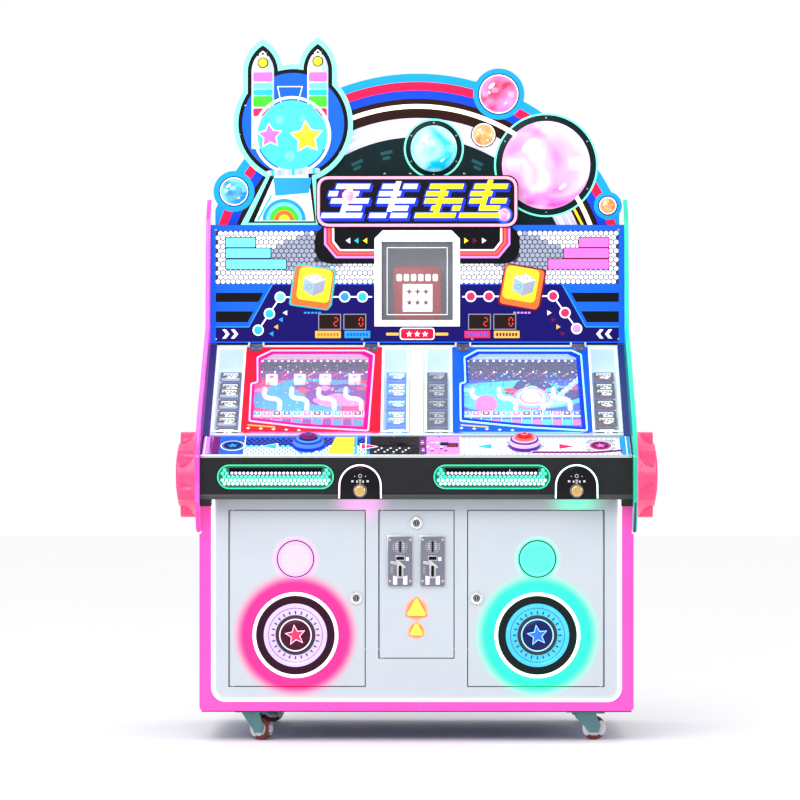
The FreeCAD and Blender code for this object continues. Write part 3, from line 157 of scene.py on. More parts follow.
def turned(profile, steps=64):
    """A solid spun about z from a list of radius and height."""
    bm = bmesh.new()
    verts = [bm.verts.new((r, 0, z)) for r, z in profile]
    edges = [bm.edges.new(pair) for pair in zip(verts, verts[1:])]
    bmesh.ops.spin(bm, geom=verts + edges, axis=(0, 0, 1), cent=(0, 0, 0), steps=steps,
                   angle=math.tau, use_merge=True)
    bmesh.ops.remove_doubles(bm, verts=bm.verts, dist=1e-3)
    bmesh.ops.recalc_face_normals(bm, faces=bm.faces)
    return bm


def ring(outer, inner, thick, bevel=0.0, steps=64):
    """A flat ring, its outer and inner rims softened."""
    b = bevel
    profile = [(inner, 0), (outer, 0), (outer, thick - b), (outer - b, thick), (inner + b, thick),
               (inner, thick - b), (inner, 0)]
    return turned(profile, steps)


def tube(points, radius, closed=False, sides=10):
    """A round bar along a route of points, made from a bevelled curve."""
    curve = bpy.data.curves.new("route", "CURVE")
    curve.dimensions = "3D"
    curve.bevel_depth = radius
    curve.bevel_resolution = max(1, sides // 4)
    curve.use_fill_caps = not closed
    spline = curve.splines.new("POLY")
    spline.points.add(len(points) - 1)
    for spot, co in zip(spline.points, points):
        spot.co = (co[0], co[1], co[2] if len(co) > 2 else 0.0, 1.0)
    spline.use_cyclic_u = closed
    holder = bpy.data.objects.new("route", curve)
    bpy.context.scene.collection.objects.link(holder)
    mesh = bpy.data.meshes.new_from_object(holder)
    bm = bmesh.new()
    bm.from_mesh(mesh)
    bpy.data.objects.remove(holder)
    bpy.data.curves.remove(curve)
    bpy.data.meshes.remove(mesh)
    bmesh.ops.remove_doubles(bm, verts=bm.verts, dist=1e-3)
    bmesh.ops.recalc_face_normals(bm, faces=bm.faces)
    return bm


# %% [markdown]
# A piece is often many shapes in several finishes, such as a speaker with its lit ring, its cone
# and its star. An open piece collects shapes, each with its finish, and is closed into one object.

# %% Collecting shapes into a piece
def open_piece():
    """An empty piece, to be filled with shapes."""
    return {"bm": bmesh.new(), "finishes": []}


def add(piece, shape, finish, *places):
    """Put a shape into a piece, placed by one or more matrices, in a finish."""
    place = Matrix.Identity(4)
    for matrix in places:
        place = place @ matrix
    bmesh.ops.transform(shape, matrix=place, verts=shape.verts)
    if finish not in piece["finishes"]:
        piece["finishes"].append(finish)
    for face in shape.faces:
        face.material_index = piece["finishes"].index(finish)
    mesh = bpy.data.meshes.new("shape")
    shape.to_mesh(mesh)
    shape.free()
    piece["bm"].from_mesh(mesh)
    bpy.data.meshes.remove(mesh)


def close_piece(piece, name, body, smooth=35.0):
    """Make the piece an object that moves with a body of the frame."""
    mesh = bpy.data.meshes.new(name)
    for face in piece["bm"].faces:
        face.smooth = True
    for edge in piece["bm"].edges:
        if len(edge.link_faces) == 2 and edge.calc_face_angle(0.0) > math.radians(smooth):
            edge.smooth = False
    piece["bm"].to_mesh(mesh)
    piece["bm"].free()
    for finish in piece["finishes"]:
        mesh.materials.append(finish)
    made = bpy.data.objects.new(name, mesh)
    bpy.context.scene.collection.objects.link(made)
    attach(made, body)
    print(name, len(mesh.polygons), "faces on", body)
    return made


# %% [markdown]
# ## Finishes
# No real surface is one flat colour. Paint has a faint orange peel, plastic picks up handling
# marks, and lamps light the paint round them. Two small node groups give that: one for mottled
# colour with uneven gloss, and one for a painted glow of lamp light that fades away from a spot.


# %% Shared effect: mottle
def group_of(name, inputs, outputs):
    """A node group with its sockets, and its input and output nodes."""
    tree = bpy.data.node_groups.new(name, "ShaderNodeTree")
    for socket, kind, value in inputs:
        made = tree.interface.new_socket(socket, in_out="INPUT", socket_type=kind)
        if value is not None:
            made.default_value = value
    for socket, kind in outputs:
        tree.interface.new_socket(socket, in_out="OUTPUT", socket_type=kind)
    return tree, tree.nodes.new("NodeGroupInput"), tree.nodes.new("NodeGroupOutput")


def wire(tree, source, socket, target, into):
    """Join one node's socket to another's."""
    tree.links.new(source.outputs[socket], target.inputs[into])


def math_node(tree, kind, first, second=None, clamp=False):
    """A sum, product or other arithmetic on sockets or numbers."""
    node = tree.nodes.new("ShaderNodeMath")
    node.operation = kind
    node.use_clamp = clamp
    for index, value in enumerate((first, second)):
        if value is None:
            continue
        if isinstance(value, (int, float)):
            node.inputs[index].default_value = value
        else:
            tree.links.new(value, node.inputs[index])
    return node.outputs[0]


def build_mottle():
    """Colour varied by soft noise, gloss varied by finer noise, and a height for bump."""
    tree, source, result = group_of(
        "Mottle",
        [("Color", "NodeSocketColor", (0.5, 0.5, 0.5, 1)), ("Amount", "NodeSocketFloat", 0.1),
         ("Scale", "NodeSocketFloat", 30.0), ("Roughness", "NodeSocketFloat", 0.4),
         ("Vector", "NodeSocketVector", None)],
        [("Color", "NodeSocketColor"), ("Roughness", "NodeSocketFloat"),
         ("Height", "NodeSocketFloat")])
    broad = tree.nodes.new("ShaderNodeTexNoise")
    broad.inputs["Detail"].default_value = 3.0
    wire(tree, source, "Vector", broad, "Vector")
    wire(tree, source, "Scale", broad, "Scale")
    fine = tree.nodes.new("ShaderNodeTexNoise")
    fine.inputs["Detail"].default_value = 4.0
    wire(tree, source, "Vector", fine, "Vector")
    tree.links.new(math_node(tree, "MULTIPLY", source.outputs["Scale"], 9.0), fine.inputs["Scale"])
    shade = tree.nodes.new("ShaderNodeHueSaturation")
    centred = math_node(tree, "SUBTRACT", broad.outputs["Fac"], 0.5)
    swing = math_node(tree, "MULTIPLY", centred, source.outputs["Amount"])
    tree.links.new(math_node(tree, "ADD", math_node(tree, "MULTIPLY", swing, 2.0), 1.0),
                   shade.inputs["Value"])
    wire(tree, source, "Color", shade, "Color")
    uneven = math_node(tree, "MULTIPLY", math_node(tree, "SUBTRACT", fine.outputs["Fac"], 0.5), 0.25)
    tree.links.new(math_node(tree, "ADD", source.outputs["Roughness"], uneven, True),
                   result.inputs["Roughness"])
    wire(tree, shade, "Color", result, "Color")
    wire(tree, fine, "Fac", result, "Height")
    return tree


MOTTLE = build_mottle()


# %% A finish from a colour
def ink(*colour):
    """A printer's colour, 0 to 255, as light."""
    return tuple(((c / 255 + 0.055) / 1.055) ** 2.4 for c in colour)


def new_finish(name):
    """A new material with its node tree and shader."""
    material = bpy.data.materials.new(name)
    material.use_nodes = True
    tree = material.node_tree
    return material, tree, tree.nodes["Principled BSDF"]


def object_coordinates(tree):
    """Places on the object itself, so that patterns move with it."""
    return tree.nodes.new("ShaderNodeTexCoord").outputs["Object"]


def finish(name, colour, rough=0.4, metal=0.0, amount=0.08, scale=30.0, bump=0.02, coat=0.0,
           glow=None, strength=0.0, alpha=1.0, shine=0.5):
    """A solid finish: mottled colour, uneven gloss and a faint surface bump."""
    material, tree, shader = new_finish(name)
    mottle = tree.nodes.new("ShaderNodeGroup")
    mottle.node_tree = MOTTLE
    mottle.inputs["Color"].default_value = (*colour, 1)
    mottle.inputs["Amount"].default_value = amount
    mottle.inputs["Scale"].default_value = scale
    mottle.inputs["Roughness"].default_value = rough
    tree.links.new(object_coordinates(tree), mottle.inputs["Vector"])
    wire(tree, mottle, "Color", shader, "Base Color")
    wire(tree, mottle, "Roughness", shader, "Roughness")
    shader.inputs["Metallic"].default_value = metal
    shader.inputs["Coat Weight"].default_value = coat
    if bump:
        raised = tree.nodes.new("ShaderNodeBump")
        raised.inputs["Strength"].default_value = bump
        raised.inputs["Distance"].default_value = MM
        wire(tree, mottle, "Height", raised, "Height")
        wire(tree, raised, "Normal", shader, "Normal")
    if glow:
        lit = tree.nodes.new("ShaderNodeGroup")
        lit.node_tree = MOTTLE
        lit.inputs["Color"].default_value = (*glow, 1)
        lit.inputs["Amount"].default_value = 2 * amount
        lit.inputs["Scale"].default_value = scale
        tree.links.new(object_coordinates(tree), lit.inputs["Vector"])
        wire(tree, lit, "Color", shader, "Emission Color")
        shader.inputs["Emission Strength"].default_value = strength
    shader.inputs["Specular IOR Level"].default_value = shine
    shader.inputs["Alpha"].default_value = alpha
    return material


def lit(name, colour, strength=1.2, base=None):
    """A lens with a lamp behind it."""
    return finish(name, base or colour, 0.3, amount=0.06, scale=60.0, glow=colour,
                  strength=strength, coat=0.3)


# %% Glow that a lamp throws on the paint round it
def build_falloff():
    """A mask that is 1 near a spot and fades away between two distances."""
    tree, source, result = group_of(
        "Falloff",
        [("Vector", "NodeSocketVector", None), ("Spot", "NodeSocketVector", None),
         ("Axes", "NodeSocketVector", (1, 0, 1)), ("Inner", "NodeSocketFloat", 0.1),
         ("Outer", "NodeSocketFloat", 0.2)],
        [("Mask", "NodeSocketFloat")])
    away = tree.nodes.new("ShaderNodeVectorMath")
    away.operation = "SUBTRACT"
    wire(tree, source, "Vector", away, 0)
    wire(tree, source, "Spot", away, 1)
    flat = tree.nodes.new("ShaderNodeVectorMath")
    flat.operation = "MULTIPLY"
    wire(tree, away, 0, flat, 0)
    wire(tree, source, "Axes", flat, 1)
    length = tree.nodes.new("ShaderNodeVectorMath")
    length.operation = "LENGTH"
    wire(tree, flat, 0, length, 0)
    fade = tree.nodes.new("ShaderNodeMapRange")
    fade.interpolation_type = "SMOOTHSTEP"
    tree.links.new(length.outputs["Value"], fade.inputs["Value"])
    wire(tree, source, "Inner", fade, "From Min")
    wire(tree, source, "Outer", fade, "From Max")
    fade.inputs["To Min"].default_value = 1.0
    fade.inputs["To Max"].default_value = 0.0
    wire(tree, fade, "Result", result, "Mask")
    return tree


FALLOFF = build_falloff()


def blend_colour(tree, mask, under, over):
    """Two colours mixed by a mask; under is a socket or a colour."""
    mix = tree.nodes.new("ShaderNodeMix")
    mix.data_type = "RGBA"
    tree.links.new(mask, mix.inputs["Factor"])
    if isinstance(under, tuple):
        mix.inputs[6].default_value = (*under, 1)
    else:
        tree.links.new(under, mix.inputs[6])
    mix.inputs[7].default_value = (*over, 1)
    return mix.outputs[2]


def add_glow(material, colour, spot, inner, outer, strength=1.0, axes=(1, 0, 1)):
    """Light of a colour falls on a finish round a spot; distances in millimetres."""
    tree = material.node_tree
    shader = tree.nodes["Principled BSDF"]
    fade = tree.nodes.new("ShaderNodeGroup")
    fade.node_tree = FALLOFF
    fade.inputs["Spot"].default_value = tuple(MM * v for v in spot)
    fade.inputs["Axes"].default_value = axes
    fade.inputs["Inner"].default_value = inner * MM
    fade.inputs["Outer"].default_value = outer * MM
    tree.links.new(object_coordinates(tree), fade.inputs["Vector"])
    mask = fade.outputs["Mask"]
    base, shine = shader.inputs["Base Color"], shader.inputs["Emission Color"]
    tree.links.new(blend_colour(tree, mask, base.links[0].from_socket, colour), base)
    under = shine.links[0].from_socket if shine.links else (0.0, 0.0, 0.0)
    tree.links.new(blend_colour(tree, mask, under, colour), shine)
    shader.inputs["Emission Strength"].default_value = strength


# %% [markdown]
# ## Camera, light and floor
# The cabinet is seen straight on, from far back through a long lens, at the height of its control
# deck. A big soft light in front, one from each side and a bright room keep the colours clear.

# %% Camera
low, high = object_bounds()
EYE = Vector((0.05, low.y - 9.91, 0.9))
AIM = Vector((-0.0435, low.y + 0.09, 0.905))
camera_data = bpy.data.cameras.new("camera")
camera_data.lens = 169.8
camera_data.sensor_width = 36
camera_data.clip_end = 60
camera = bpy.data.objects.new("camera", camera_data)
camera.location = EYE
camera.rotation_mode = "QUATERNION"
camera.rotation_quaternion = (AIM - EYE).to_track_quat("-Z", "Y")
bpy.context.scene.collection.objects.link(camera)
bpy.context.scene.camera = camera
bpy.context.scene.view_settings.view_transform = "Standard"
print("camera at", EYE)


# %% Lights, room and floor
def soft_light(name, spot, target, width, power):
    """A wide lamp that faces a spot."""
    data = bpy.data.lights.new(name, "AREA")
    data.shape = "RECTANGLE"
    data.size = width
    data.size_y = width * 0.7
    data.energy = power
    lamp = bpy.data.objects.new(name, data)
    lamp.location = spot
    lamp.rotation_mode = "QUATERNION"
    lamp.rotation_quaternion = (Vector(target) - Vector(spot)).to_track_quat("-Z", "Y")
    bpy.context.scene.collection.objects.link(lamp)


soft_light("front_light", (-1.2, -4.2, 3.4), (0, 0, 0.9), 3.0, 90)
soft_light("left_light", (-3.6, -1.2, 1.8), (0, 0, 0.9), 2.2, 35)
soft_light("right_light", (3.6, -1.4, 1.8), (0, 0, 0.9), 2.2, 35)

room = bpy.data.worlds.new("room")
room.use_nodes = True
room.node_tree.nodes["Background"].inputs["Color"].default_value = (1.0, 1.0, 1.0, 1)
room.node_tree.nodes["Background"].inputs["Strength"].default_value = 1.0
bpy.context.scene.world = room
print("three soft lights and a white room")

floor_piece = open_piece()
floor_paint = finish("floor_paint", (0.95, 0.95, 0.96), 0.6, amount=0.01, scale=2.0, bump=0.0)
add(floor_piece, slab(bar_points(30000, 30000), 1), floor_paint, ROW, at(0, 0, -1.2))
floor_mesh = bpy.data.meshes.new("floor")
floor_piece["bm"].to_mesh(floor_mesh)
floor_piece["bm"].free()
floor_mesh.materials.append(floor_paint)
floor = bpy.data.objects.new("floor", floor_mesh)
bpy.context.scene.collection.objects.link(floor)

# %% [markdown]
# ## The frame's own panels
# Most panels already have the right shape. Each gets its finish, and a fine bevel that catches the
# light along its edges, as a routed or folded edge does.

# %% Finishes of the panels
LAMINATE = finish("cabinet_laminate", (0.016, 0.03, 0.22), 0.42, scale=8.0, amount=0.12, bump=0.05)
PINK = finish("pink_trim", (0.93, 0.045, 0.40), 0.3, coat=0.4, glow=(0.95, 0.06, 0.45), strength=0.25)


def door_paint(name):
    """The pale grey powder coat of the doors."""
    return finish(name, (0.50, 0.55, 0.61), 0.45, scale=14.0, amount=0.03, bump=0.08)


GREY_PAINT = door_paint("door_paint")
WHITE_PAINT = finish("white_paint", (0.82, 0.84, 0.88), 0.4, amount=0.03)
CHARCOAL = finish("charcoal_fascia", (0.012, 0.013, 0.015), 0.3, shine=0.2, amount=0.25)
BLACK_GLOSS = finish("black_gloss", (0.004, 0.004, 0.007), 0.18, shine=0.15, amount=0.2)
STEEL = finish("brushed_steel", (0.55, 0.56, 0.58), 0.32, metal=1.0, scale=80.0, amount=0.1)
CHROME = finish("chrome", (0.82, 0.83, 0.86), 0.09, metal=1.0, amount=0.05)
BRASS = finish("brass", (0.72, 0.47, 0.18), 0.24, metal=1.0, amount=0.12)
DIE_CAST = finish("die_cast", (0.20, 0.20, 0.26), 0.36, metal=0.8, amount=0.15, bump=0.1)
ZINC = finish("caster_zinc", (0.10, 0.22, 0.24), 0.35, metal=0.7, amount=0.2, bump=0.08)
TREAD = finish("caster_tread", (0.10, 0.008, 0.008), 0.6, amount=0.2, bump=0.2)
SHELL_RED = finish("shell_red", (1.0, 0.035, 0.16), 0.32, coat=0.3, glow=(1.0, 0.04, 0.2), strength=0.18)
CARTON = finish("carton", (0.05, 0.22, 0.62), 0.5, amount=0.3, scale=50.0)
PRINT_NAVY = finish("print_navy", (0.006, 0.0, 0.10), 0.3, shine=0.15, amount=0.15,
                    glow=(0.01, 0.0, 0.16), strength=0.35)
SPEAKER_BLACK = finish("speaker_black", (0.02, 0.02, 0.024), 0.5, amount=0.2, bump=0.1)

NODE_FINISHES = {
    "base_frame": LAMINATE, "cabinet_walls": LAMINATE, "front_surround": PINK,
    "front_panel": GREY_PAINT, "hinge_pins": STEEL, "control_box": CHARCOAL,
    "slot_grilles": BLACK_GLOSS, "launcher_plates": BLACK_GLOSS, "deck_panel": BLACK_GLOSS,
    "play_tub": WHITE_PAINT, "play_boards": PRINT_NAVY, "board_pins": BRASS,
    "guide_tubes": WHITE_PAINT, "prize_packs": CARTON, "backbox_shell": LAMINATE,
    "backbox_panel": PRINT_NAVY, "showcase_frame": WHITE_PAINT, "score_displays": BLACK_GLOSS,
    "title_plate": BLACK_GLOSS, "side_shells": SHELL_RED, "cash_box": STEEL, "ball_hopper": STEEL,
    "power_inlet": SPEAKER_BLACK, "caster_plates": ZINC, "left_door": GREY_PAINT,
    "right_door": GREY_PAINT, "coin_door": GREY_PAINT, "rear_door": LAMINATE,
    "left_speaker": SPEAKER_BLACK, "right_speaker": SPEAKER_BLACK, "coin_acceptors": DIE_CAST,
    "left_lock": CHROME, "right_lock": CHROME, "coin_lock": CHROME,
    "left_return_lever": CHROME, "right_return_lever": CHROME,
    "left_plunger": BRASS, "right_plunger": BRASS,
}
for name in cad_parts:
    if name.startswith("caster_fork") or name.startswith("brake_pedal"):
        NODE_FINISHES[name] = ZINC
    if name.startswith("caster_wheel"):
        NODE_FINISHES[name] = TREAD
EDGE_BEVEL = {"front_surround": 2.0, "side_shells": 1.5, "showcase_frame": 1.5}


def repaint(name, material, chosen):
    """Give the faces of a frame node that are chosen by their middle another finish."""
    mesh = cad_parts[name].data
    mesh.materials.append(material)
    for face in mesh.polygons:
        if chosen(face.center / MM):
            face.material_index = len(mesh.materials) - 1


def dress(name, material, width=0.6):
    """Give a frame node its finish and softly rounded edges."""
    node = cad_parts[name]
    node.data.materials.clear()
    node.data.materials.append(material)
    weld = node.modifiers.get("join_corners") or node.modifiers.new("join_corners", "WELD")
    weld.merge_threshold = 1e-5
    soft = node.modifiers.get("soft_edges") or node.modifiers.new("soft_edges", "BEVEL")
    soft.width = width * MM
    soft.segments = 2
    soft.limit_method = "ANGLE"
    soft.angle_limit = math.radians(40)
    soft.harden_normals = True


for name, material in NODE_FINISHES.items():
    dress(name, material, EDGE_BEVEL.get(name, 0.6))
print(len(NODE_FINISHES), "frame nodes dressed")

# %% [markdown]
# ## The lower cabinet
# A pink trim with a lit white bead frames grey steel doors. Lamps behind the speakers throw a halo
# on the paint: pink on the player's left and mint on the right. A halo fades with the distance
# from the speaker's axis.

# %% Halos on the doors and the lit bead
HALO = {-1: ink(226, 20, 120), 1: ink(20, 222, 170)}
PALE = {-1: ink(250, 170, 240), 1: ink(120, 245, 205)}
LED_WHITE = {-1: lit("led_pink_white", ink(255, 225, 245), 1.1),
             1: lit("led_mint_white", ink(225, 255, 245), 1.1)}
SIDES = [("left", -1), ("right", 1)]
SPEAKER_X, WOOFER, TWEETER = 320.5, 282, 484
LAUNCHER_X = {-1: -148, 1: 422}
panel_paint = door_paint("panel_paint")
dress("front_panel", panel_paint)
for side, sign in SIDES:
    paint = door_paint(side + "_door_paint")
    add_glow(paint, PALE[sign], (sign * SPEAKER_X, 0, TWEETER), 40, 66, 0.5)
    add_glow(paint, HALO[sign], (sign * SPEAKER_X, 0, WOOFER), 136, 172, 0.55)
    dress(side + "_door", paint)
    add_glow(panel_paint, PALE[sign], (LAUNCHER_X[sign], 0, 655), 10, 95, 0.5)
    add_glow(panel_paint, HALO[sign], (sign * SPEAKER_X, 0, WOOFER), 136, 172, 0.55)
lit_bead = lit("lit_bead", ink(255, 238, 252), 1.0)
repaint("front_surround", lit_bead, lambda c: abs(c.x) < 543.9 and c.z > 105.6 and c.y > -316)
print("halo colours", HALO)


# %% Speakers
def speaker(side, sign):
    """LED ring, black ring with marks, dished disc with its star, and a perforated tweeter."""
    piece = open_piece()
    disc = finish(side + "_disc", ink(205, 185, 240) if sign < 0 else ink(60, 190, 225), 0.28,
                  metal=0.35, coat=0.6, amount=0.1, glow=ink(190, 150, 235) if sign < 0
                  else ink(20, 150, 215), strength=0.35)
    # The black rubber ring and its ticks are tinted dark pink on the left and dark teal on the right: painted
    # glow of the LED ring on black rubber.
    rubber_painted_glow = finish(side + "_rubber", ink(45, 5, 30) if sign < 0 else ink(8, 25, 25), 0.4, bump=0.2,
                    shine=0.15)
    mark = finish(side + "_marks", ink(35, 20, 60) if sign < 0 else ink(10, 60, 90), 0.4)
    star = lit(side + "_star", ink(235, 25, 80) if sign < 0 else ink(30, 90, 235), 0.7)
    pale = lit(side + "_star_edge", ink(255, 200, 225) if sign < 0 else ink(140, 210, 255), 0.8)
    hub = finish(side + "_hub", ink(60, 5, 35) if sign < 0 else ink(5, 25, 90), 0.3, shine=0.2)
    spot = (PANEL, at(sign * SPEAKER_X, WOOFER))
    add(piece, ring(113.7, 104.5, 9.4, 2.2), LED_WHITE[sign], *spot)
    add(piece, ring(104.5, 84, 8.0, 1.5), rubber_painted_glow, *spot)
    for i in range(60):
        a = 6 * i
        long = 7.0 if i % 5 == 0 else 3.5
        add(piece, slab(bar_points(long, 1.4), 8.5), rubber_painted_glow, *spot, at(0, 0, 0, a), at(94, 0))
    dish = turned([(0, 2), (40, 2), (46, 1.2), (60, 2.8), (76, 7), (81.5, 8.6), (84, 8.4), (84, 0.4),
                   (0, 0.4)])
    add(piece, dish, disc, *spot)
    for i in range(24):
        add(piece, slab(bar_points(9, 3.2, 1.4, 3), 4.4), mark, *spot, at(0, 0, 0, 15 * i), at(60, 0))
    for radius, width in ((71, 1.2), (50.5, 1.2)):
        add(piece, ring(radius + width, radius, 6.4 if radius > 60 else 3.2), mark, *spot)
    add(piece, turned([(0, 9), (30, 8.6), (38, 7), (41, 4), (41, 1), (0, 1)]), hub, *spot)
    add(piece, ring(43.5, 40, 7, 1.2), pale, *spot)
    add(piece, slab(star_points(29, 13, 5, 98), 9.6, 0.6), pale, *spot)
    add(piece, slab(star_points(25, 10.6, 5, 98), 10.4, 0.8), star, *spot)
    spot = (PANEL, at(sign * SPEAKER_X, TWEETER))
    glow = lit(side + "_tweeter", ink(250, 150, 240) if sign < 0 else ink(70, 225, 175), 0.85)
    dot = lit(side + "_tweeter_dots", ink(255, 205, 250) if sign < 0 else ink(10, 170, 120), 0.8)
    cap = [(0, 4.4), (40, 3.8), (48, 2.8), (51.4, 2.2), (52.2, 1.2), (52.2, 0.3), (0, 0.2)]
    add(piece, turned(cap), glow, *spot)
    for row in range(-7, 8):
        for column in range(-8, 9):
            x = 5.6 * (column + 0.5 * (row % 2))
            y = 4.85 * row
            if math.hypot(x, y) < 39:
                add(piece, turned([(0, 5), (1.2, 4.8), (1.6, 3.6), (0, 3.2)], 6), dot, *spot, at(x, y))
    close_piece(piece, side + "_speaker_front", side + "_door")


for side, sign in SIDES:
    speaker(side, sign)


# %% [markdown]
# ## The coin door
# Two die-cast coin mechanisms stand on lighter backing plates. Each has a fluted oval by its slot,
# a small display slit, screws in its corners and two blank labels. Two lit arrows hang below.

# %% Coin mechanisms, arrows and locks
coin_paint = door_paint("coin_door_paint")
ARROWS = ((331, 387.5, 31.5), (279.5, 321, 22.8))
for low_edge, high_edge, half in ARROWS:
    add_glow(coin_paint, ink(255, 120, 50), (0, 0, low_edge + (high_edge - low_edge) / 3), half * 0.55,
             half * 1.15, 0.6)
dress("coin_door", coin_paint)
BACKING = finish("backing_plate", (0.50, 0.52, 0.55), 0.3, metal=0.9, scale=70.0, amount=0.08)
# Near black: painted shade inside the coin slots, the slots below them, the card slots and the screws' cross
# slots. It also colours the display slits and the dark discs of the locks.
SLOT_SHADE_BLACK = finish("slot_shade_black", (0.004, 0.004, 0.005), 0.5, amount=0.3, shine=0.1)
LABEL = finish("blank_label", (0.85, 0.86, 0.88), 0.5, amount=0.05)
SCREW = finish("screw", (0.62, 0.63, 0.66), 0.25, metal=1.0, amount=0.1)


def screw(piece, *places, radius=3.0, height=0.0):
    """A domed screw with a cross slot."""
    r = radius
    add(piece, turned([(0, height + 1.6), (r * 0.6, height + 1.5), (r, height + 0.6), (r, height),
                       (0, height)], 14), SCREW, *places)
    for turn in (45, 135):
        add(piece, slab(bar_points(r * 1.3, r * 0.25), height + 1.75), SLOT_SHADE_BLACK, *places, at(0, 0, 0, turn))


MECH_X, MECH_LEVEL, MECH_PROUD = 43, 477, 7
piece = open_piece()
for x in (-MECH_X, MECH_X):
    add(piece, slab(bar_points(72, 138, 3), 1.2, 0.5), BACKING, PANEL, at(x, MECH_LEVEL))
    mech = (PANEL, at(x, MECH_LEVEL, MECH_PROUD))
    add(piece, ring(19.5, 16.5, 3.2, 1.2, 40), STEEL, *mech, at(0, 40))
    for i in range(6):
        y = -12.5 + 5 * i
        wide = 2 * math.sqrt(max(16 ** 2 - y ** 2, 4)) - 8
        for side in (-1, 1):
            add(piece, slab(bar_points(wide / 2 - 3, 3.2, 1.4, 3), 4.4, 0.8), BACKING, *mech,
                at(side * (wide / 4 + 3.6), 40 + y))
    add(piece, slab(bar_points(4.4, 28, 2), 3.4), SLOT_SHADE_BLACK, *mech, at(0, 40))
    add(piece, slab(bar_points(25, 13, 2), 1.0, 0.4), STEEL, *mech, at(0, 9))
    add(piece, slab(bar_points(21, 9, 1), 1.3), SLOT_SHADE_BLACK, *mech, at(0, 9))
    add(piece, slab(bar_points(8, 10), 0.5), LABEL, *mech, at(19, 7))
    add(piece, slab(bar_points(26, 8, 3), 2.4, 0.9), STEEL, *mech, at(-13, -4, 0, -8))
    add(piece, slab(bar_points(18, 36, 4), 1.8, 0.7), STEEL, *mech, at(0, -26))
    add(piece, slab(bar_points(8, 29, 1), 2.1), SLOT_SHADE_BLACK, *mech, at(0, -25))
    for side in (-1, 1):
        points = [(0, 9), (11, 12), (11, -12), (0, -12)]
        add(piece, slab([(side * a, b) for a, b in points][::side], 1.0, 0.3), LABEL, *mech,
            at(side * 8, -49))
        for level in (58, -52):
            screw(piece, *mech, at(side * 27, level), radius=3.2)
    for rib in range(5):
        add(piece, slab(bar_points(7, 1.4), 1.4, 0.3), STEEL, *mech, at(-22, -14 - 4 * rib))
close_piece(piece, "coin_mechanism_faces", "coin_door")

yellow = lit("arrow_yellow", ink(255, 235, 60), 1.0)
orange_rim = lit("arrow_rim", ink(255, 110, 30), 1.0)


def rounded(points, corner, steps=5):
    """A closed outline with every corner rounded."""
    made = []
    count = len(points)
    for i, here in enumerate(points):
        here = Vector((*here, 0))
        before = Vector((*points[i - 1], 0)) - here
        after = Vector((*points[(i + 1) % count], 0)) - here
        reach = corner / math.tan(before.angle(after) / 2)
        reach = min(reach, before.length / 2.05, after.length / 2.05)
        start, end = here + before.normalized() * reach, here + after.normalized() * reach
        for k in range(steps + 1):
            t = k / steps
            spot = start * (1 - t) ** 2 + here * 2 * t * (1 - t) + end * t ** 2
            made.append((spot.x, spot.y))
    return made


piece = open_piece()
for low_edge, high_edge, half in ARROWS:
    tall = high_edge - low_edge
    for grow, thick, colour in ((1.0, 3.4, orange_rim), (0.84, 4.4, yellow)):
        points = [(-half * grow, low_edge + tall * 0.36 * (1 - grow)),
                  (half * grow, low_edge + tall * 0.36 * (1 - grow)),
                  (0, high_edge - tall * 0.6 * (1 - grow))]
        add(piece, slab(rounded(points, 5 * grow), thick, 1.0), colour, PANEL)
arrows = close_piece(piece, "arrow_lenses", "coin_door")
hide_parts("arrow_lamps")

LOCKS = {"left_lock": (-159.5, 380), "right_lock": (159.5, 380), "coin_lock": (0, 579)}
for name, (x, level) in LOCKS.items():
    piece = open_piece()
    spot = (PANEL, at(x, level, 5))
    add(piece, turned([(11, 0), (16, 0), (15, 1.2), (11.5, 2.0), (11, 1.6), (11, 0)], 40), CHROME, *spot)
    add(piece, turned([(0, 1.8), (8.4, 1.7), (9, 1.2), (9, 0), (0, 0)], 32), SLOT_SHADE_BLACK, *spot)
    add(piece, turned([(5.4, 0), (6.6, 0), (6.4, 2.6), (5.6, 2.6), (5.4, 0)], 32), CHROME, *spot)
    add(piece, slab(bar_points(1.6, 7, 0.7, 3), 2.8), CHROME, *spot)
    close_piece(piece, name + "_face", name)

# %% [markdown]
# ## The control box
# Behind each card slot a mint lamp shines through a honeycomb: the holes in the lower rows are
# brightest. Each hole is a small six-sided lens. An arched plate with a lit rim guides the brass
# plunger, and a silver trim runs along the deck's front edge.

# %% Honeycomb grilles
STATIONS = {-1: -371, 1: 199}
GRILLE_LEVEL, SLOT_LEVEL = 702.5, 715
HEX_LIT = {name: lit("grille_" + name, ink(*colour), power) for name, colour, power in (
    ("bright", (175, 255, 232), 1.0), ("middle", (70, 235, 185), 0.95), ("dim", (10, 150, 110), 0.8))}
SLOT_LIT = lit("slot_lamp", ink(255, 250, 255), 1.0)
MINT_EDGE = lit("grille_edge", ink(10, 215, 150), 0.9)
GRILLE_BACK = finish("grille_back", (0.002, 0.05, 0.035), 0.4, glow=ink(0, 95, 70), strength=0.8)


def in_stadium(x, y, long, tall):
    """Whether a spot lies in a bar with round ends."""
    away = max(abs(x) - (long - tall) / 2, 0)
    return math.hypot(away, y) <= tall / 2


def stadium_ring(long, tall, width, thick):
    """A frame round a bar with round ends."""
    outer = bar_points(long, tall, tall / 2 - 0.01, 14)
    inner = bar_points(long - 2 * width, tall - 2 * width, tall / 2 - width - 0.01, 14)
    bm = bmesh.new()
    loops = []
    for points, height in ((outer, 0), (outer, thick), (inner, thick), (inner, 0)):
        loops.append([bm.verts.new((x, y, height)) for x, y in points])
    for near, far in zip(loops, loops[1:] + loops[:1]):
        for i in range(len(near)):
            k = (i + 1) % len(near)
            bm.faces.new((near[i], near[k], far[k], far[i]))
    bmesh.ops.recalc_face_normals(bm, faces=bm.faces)
    return bm


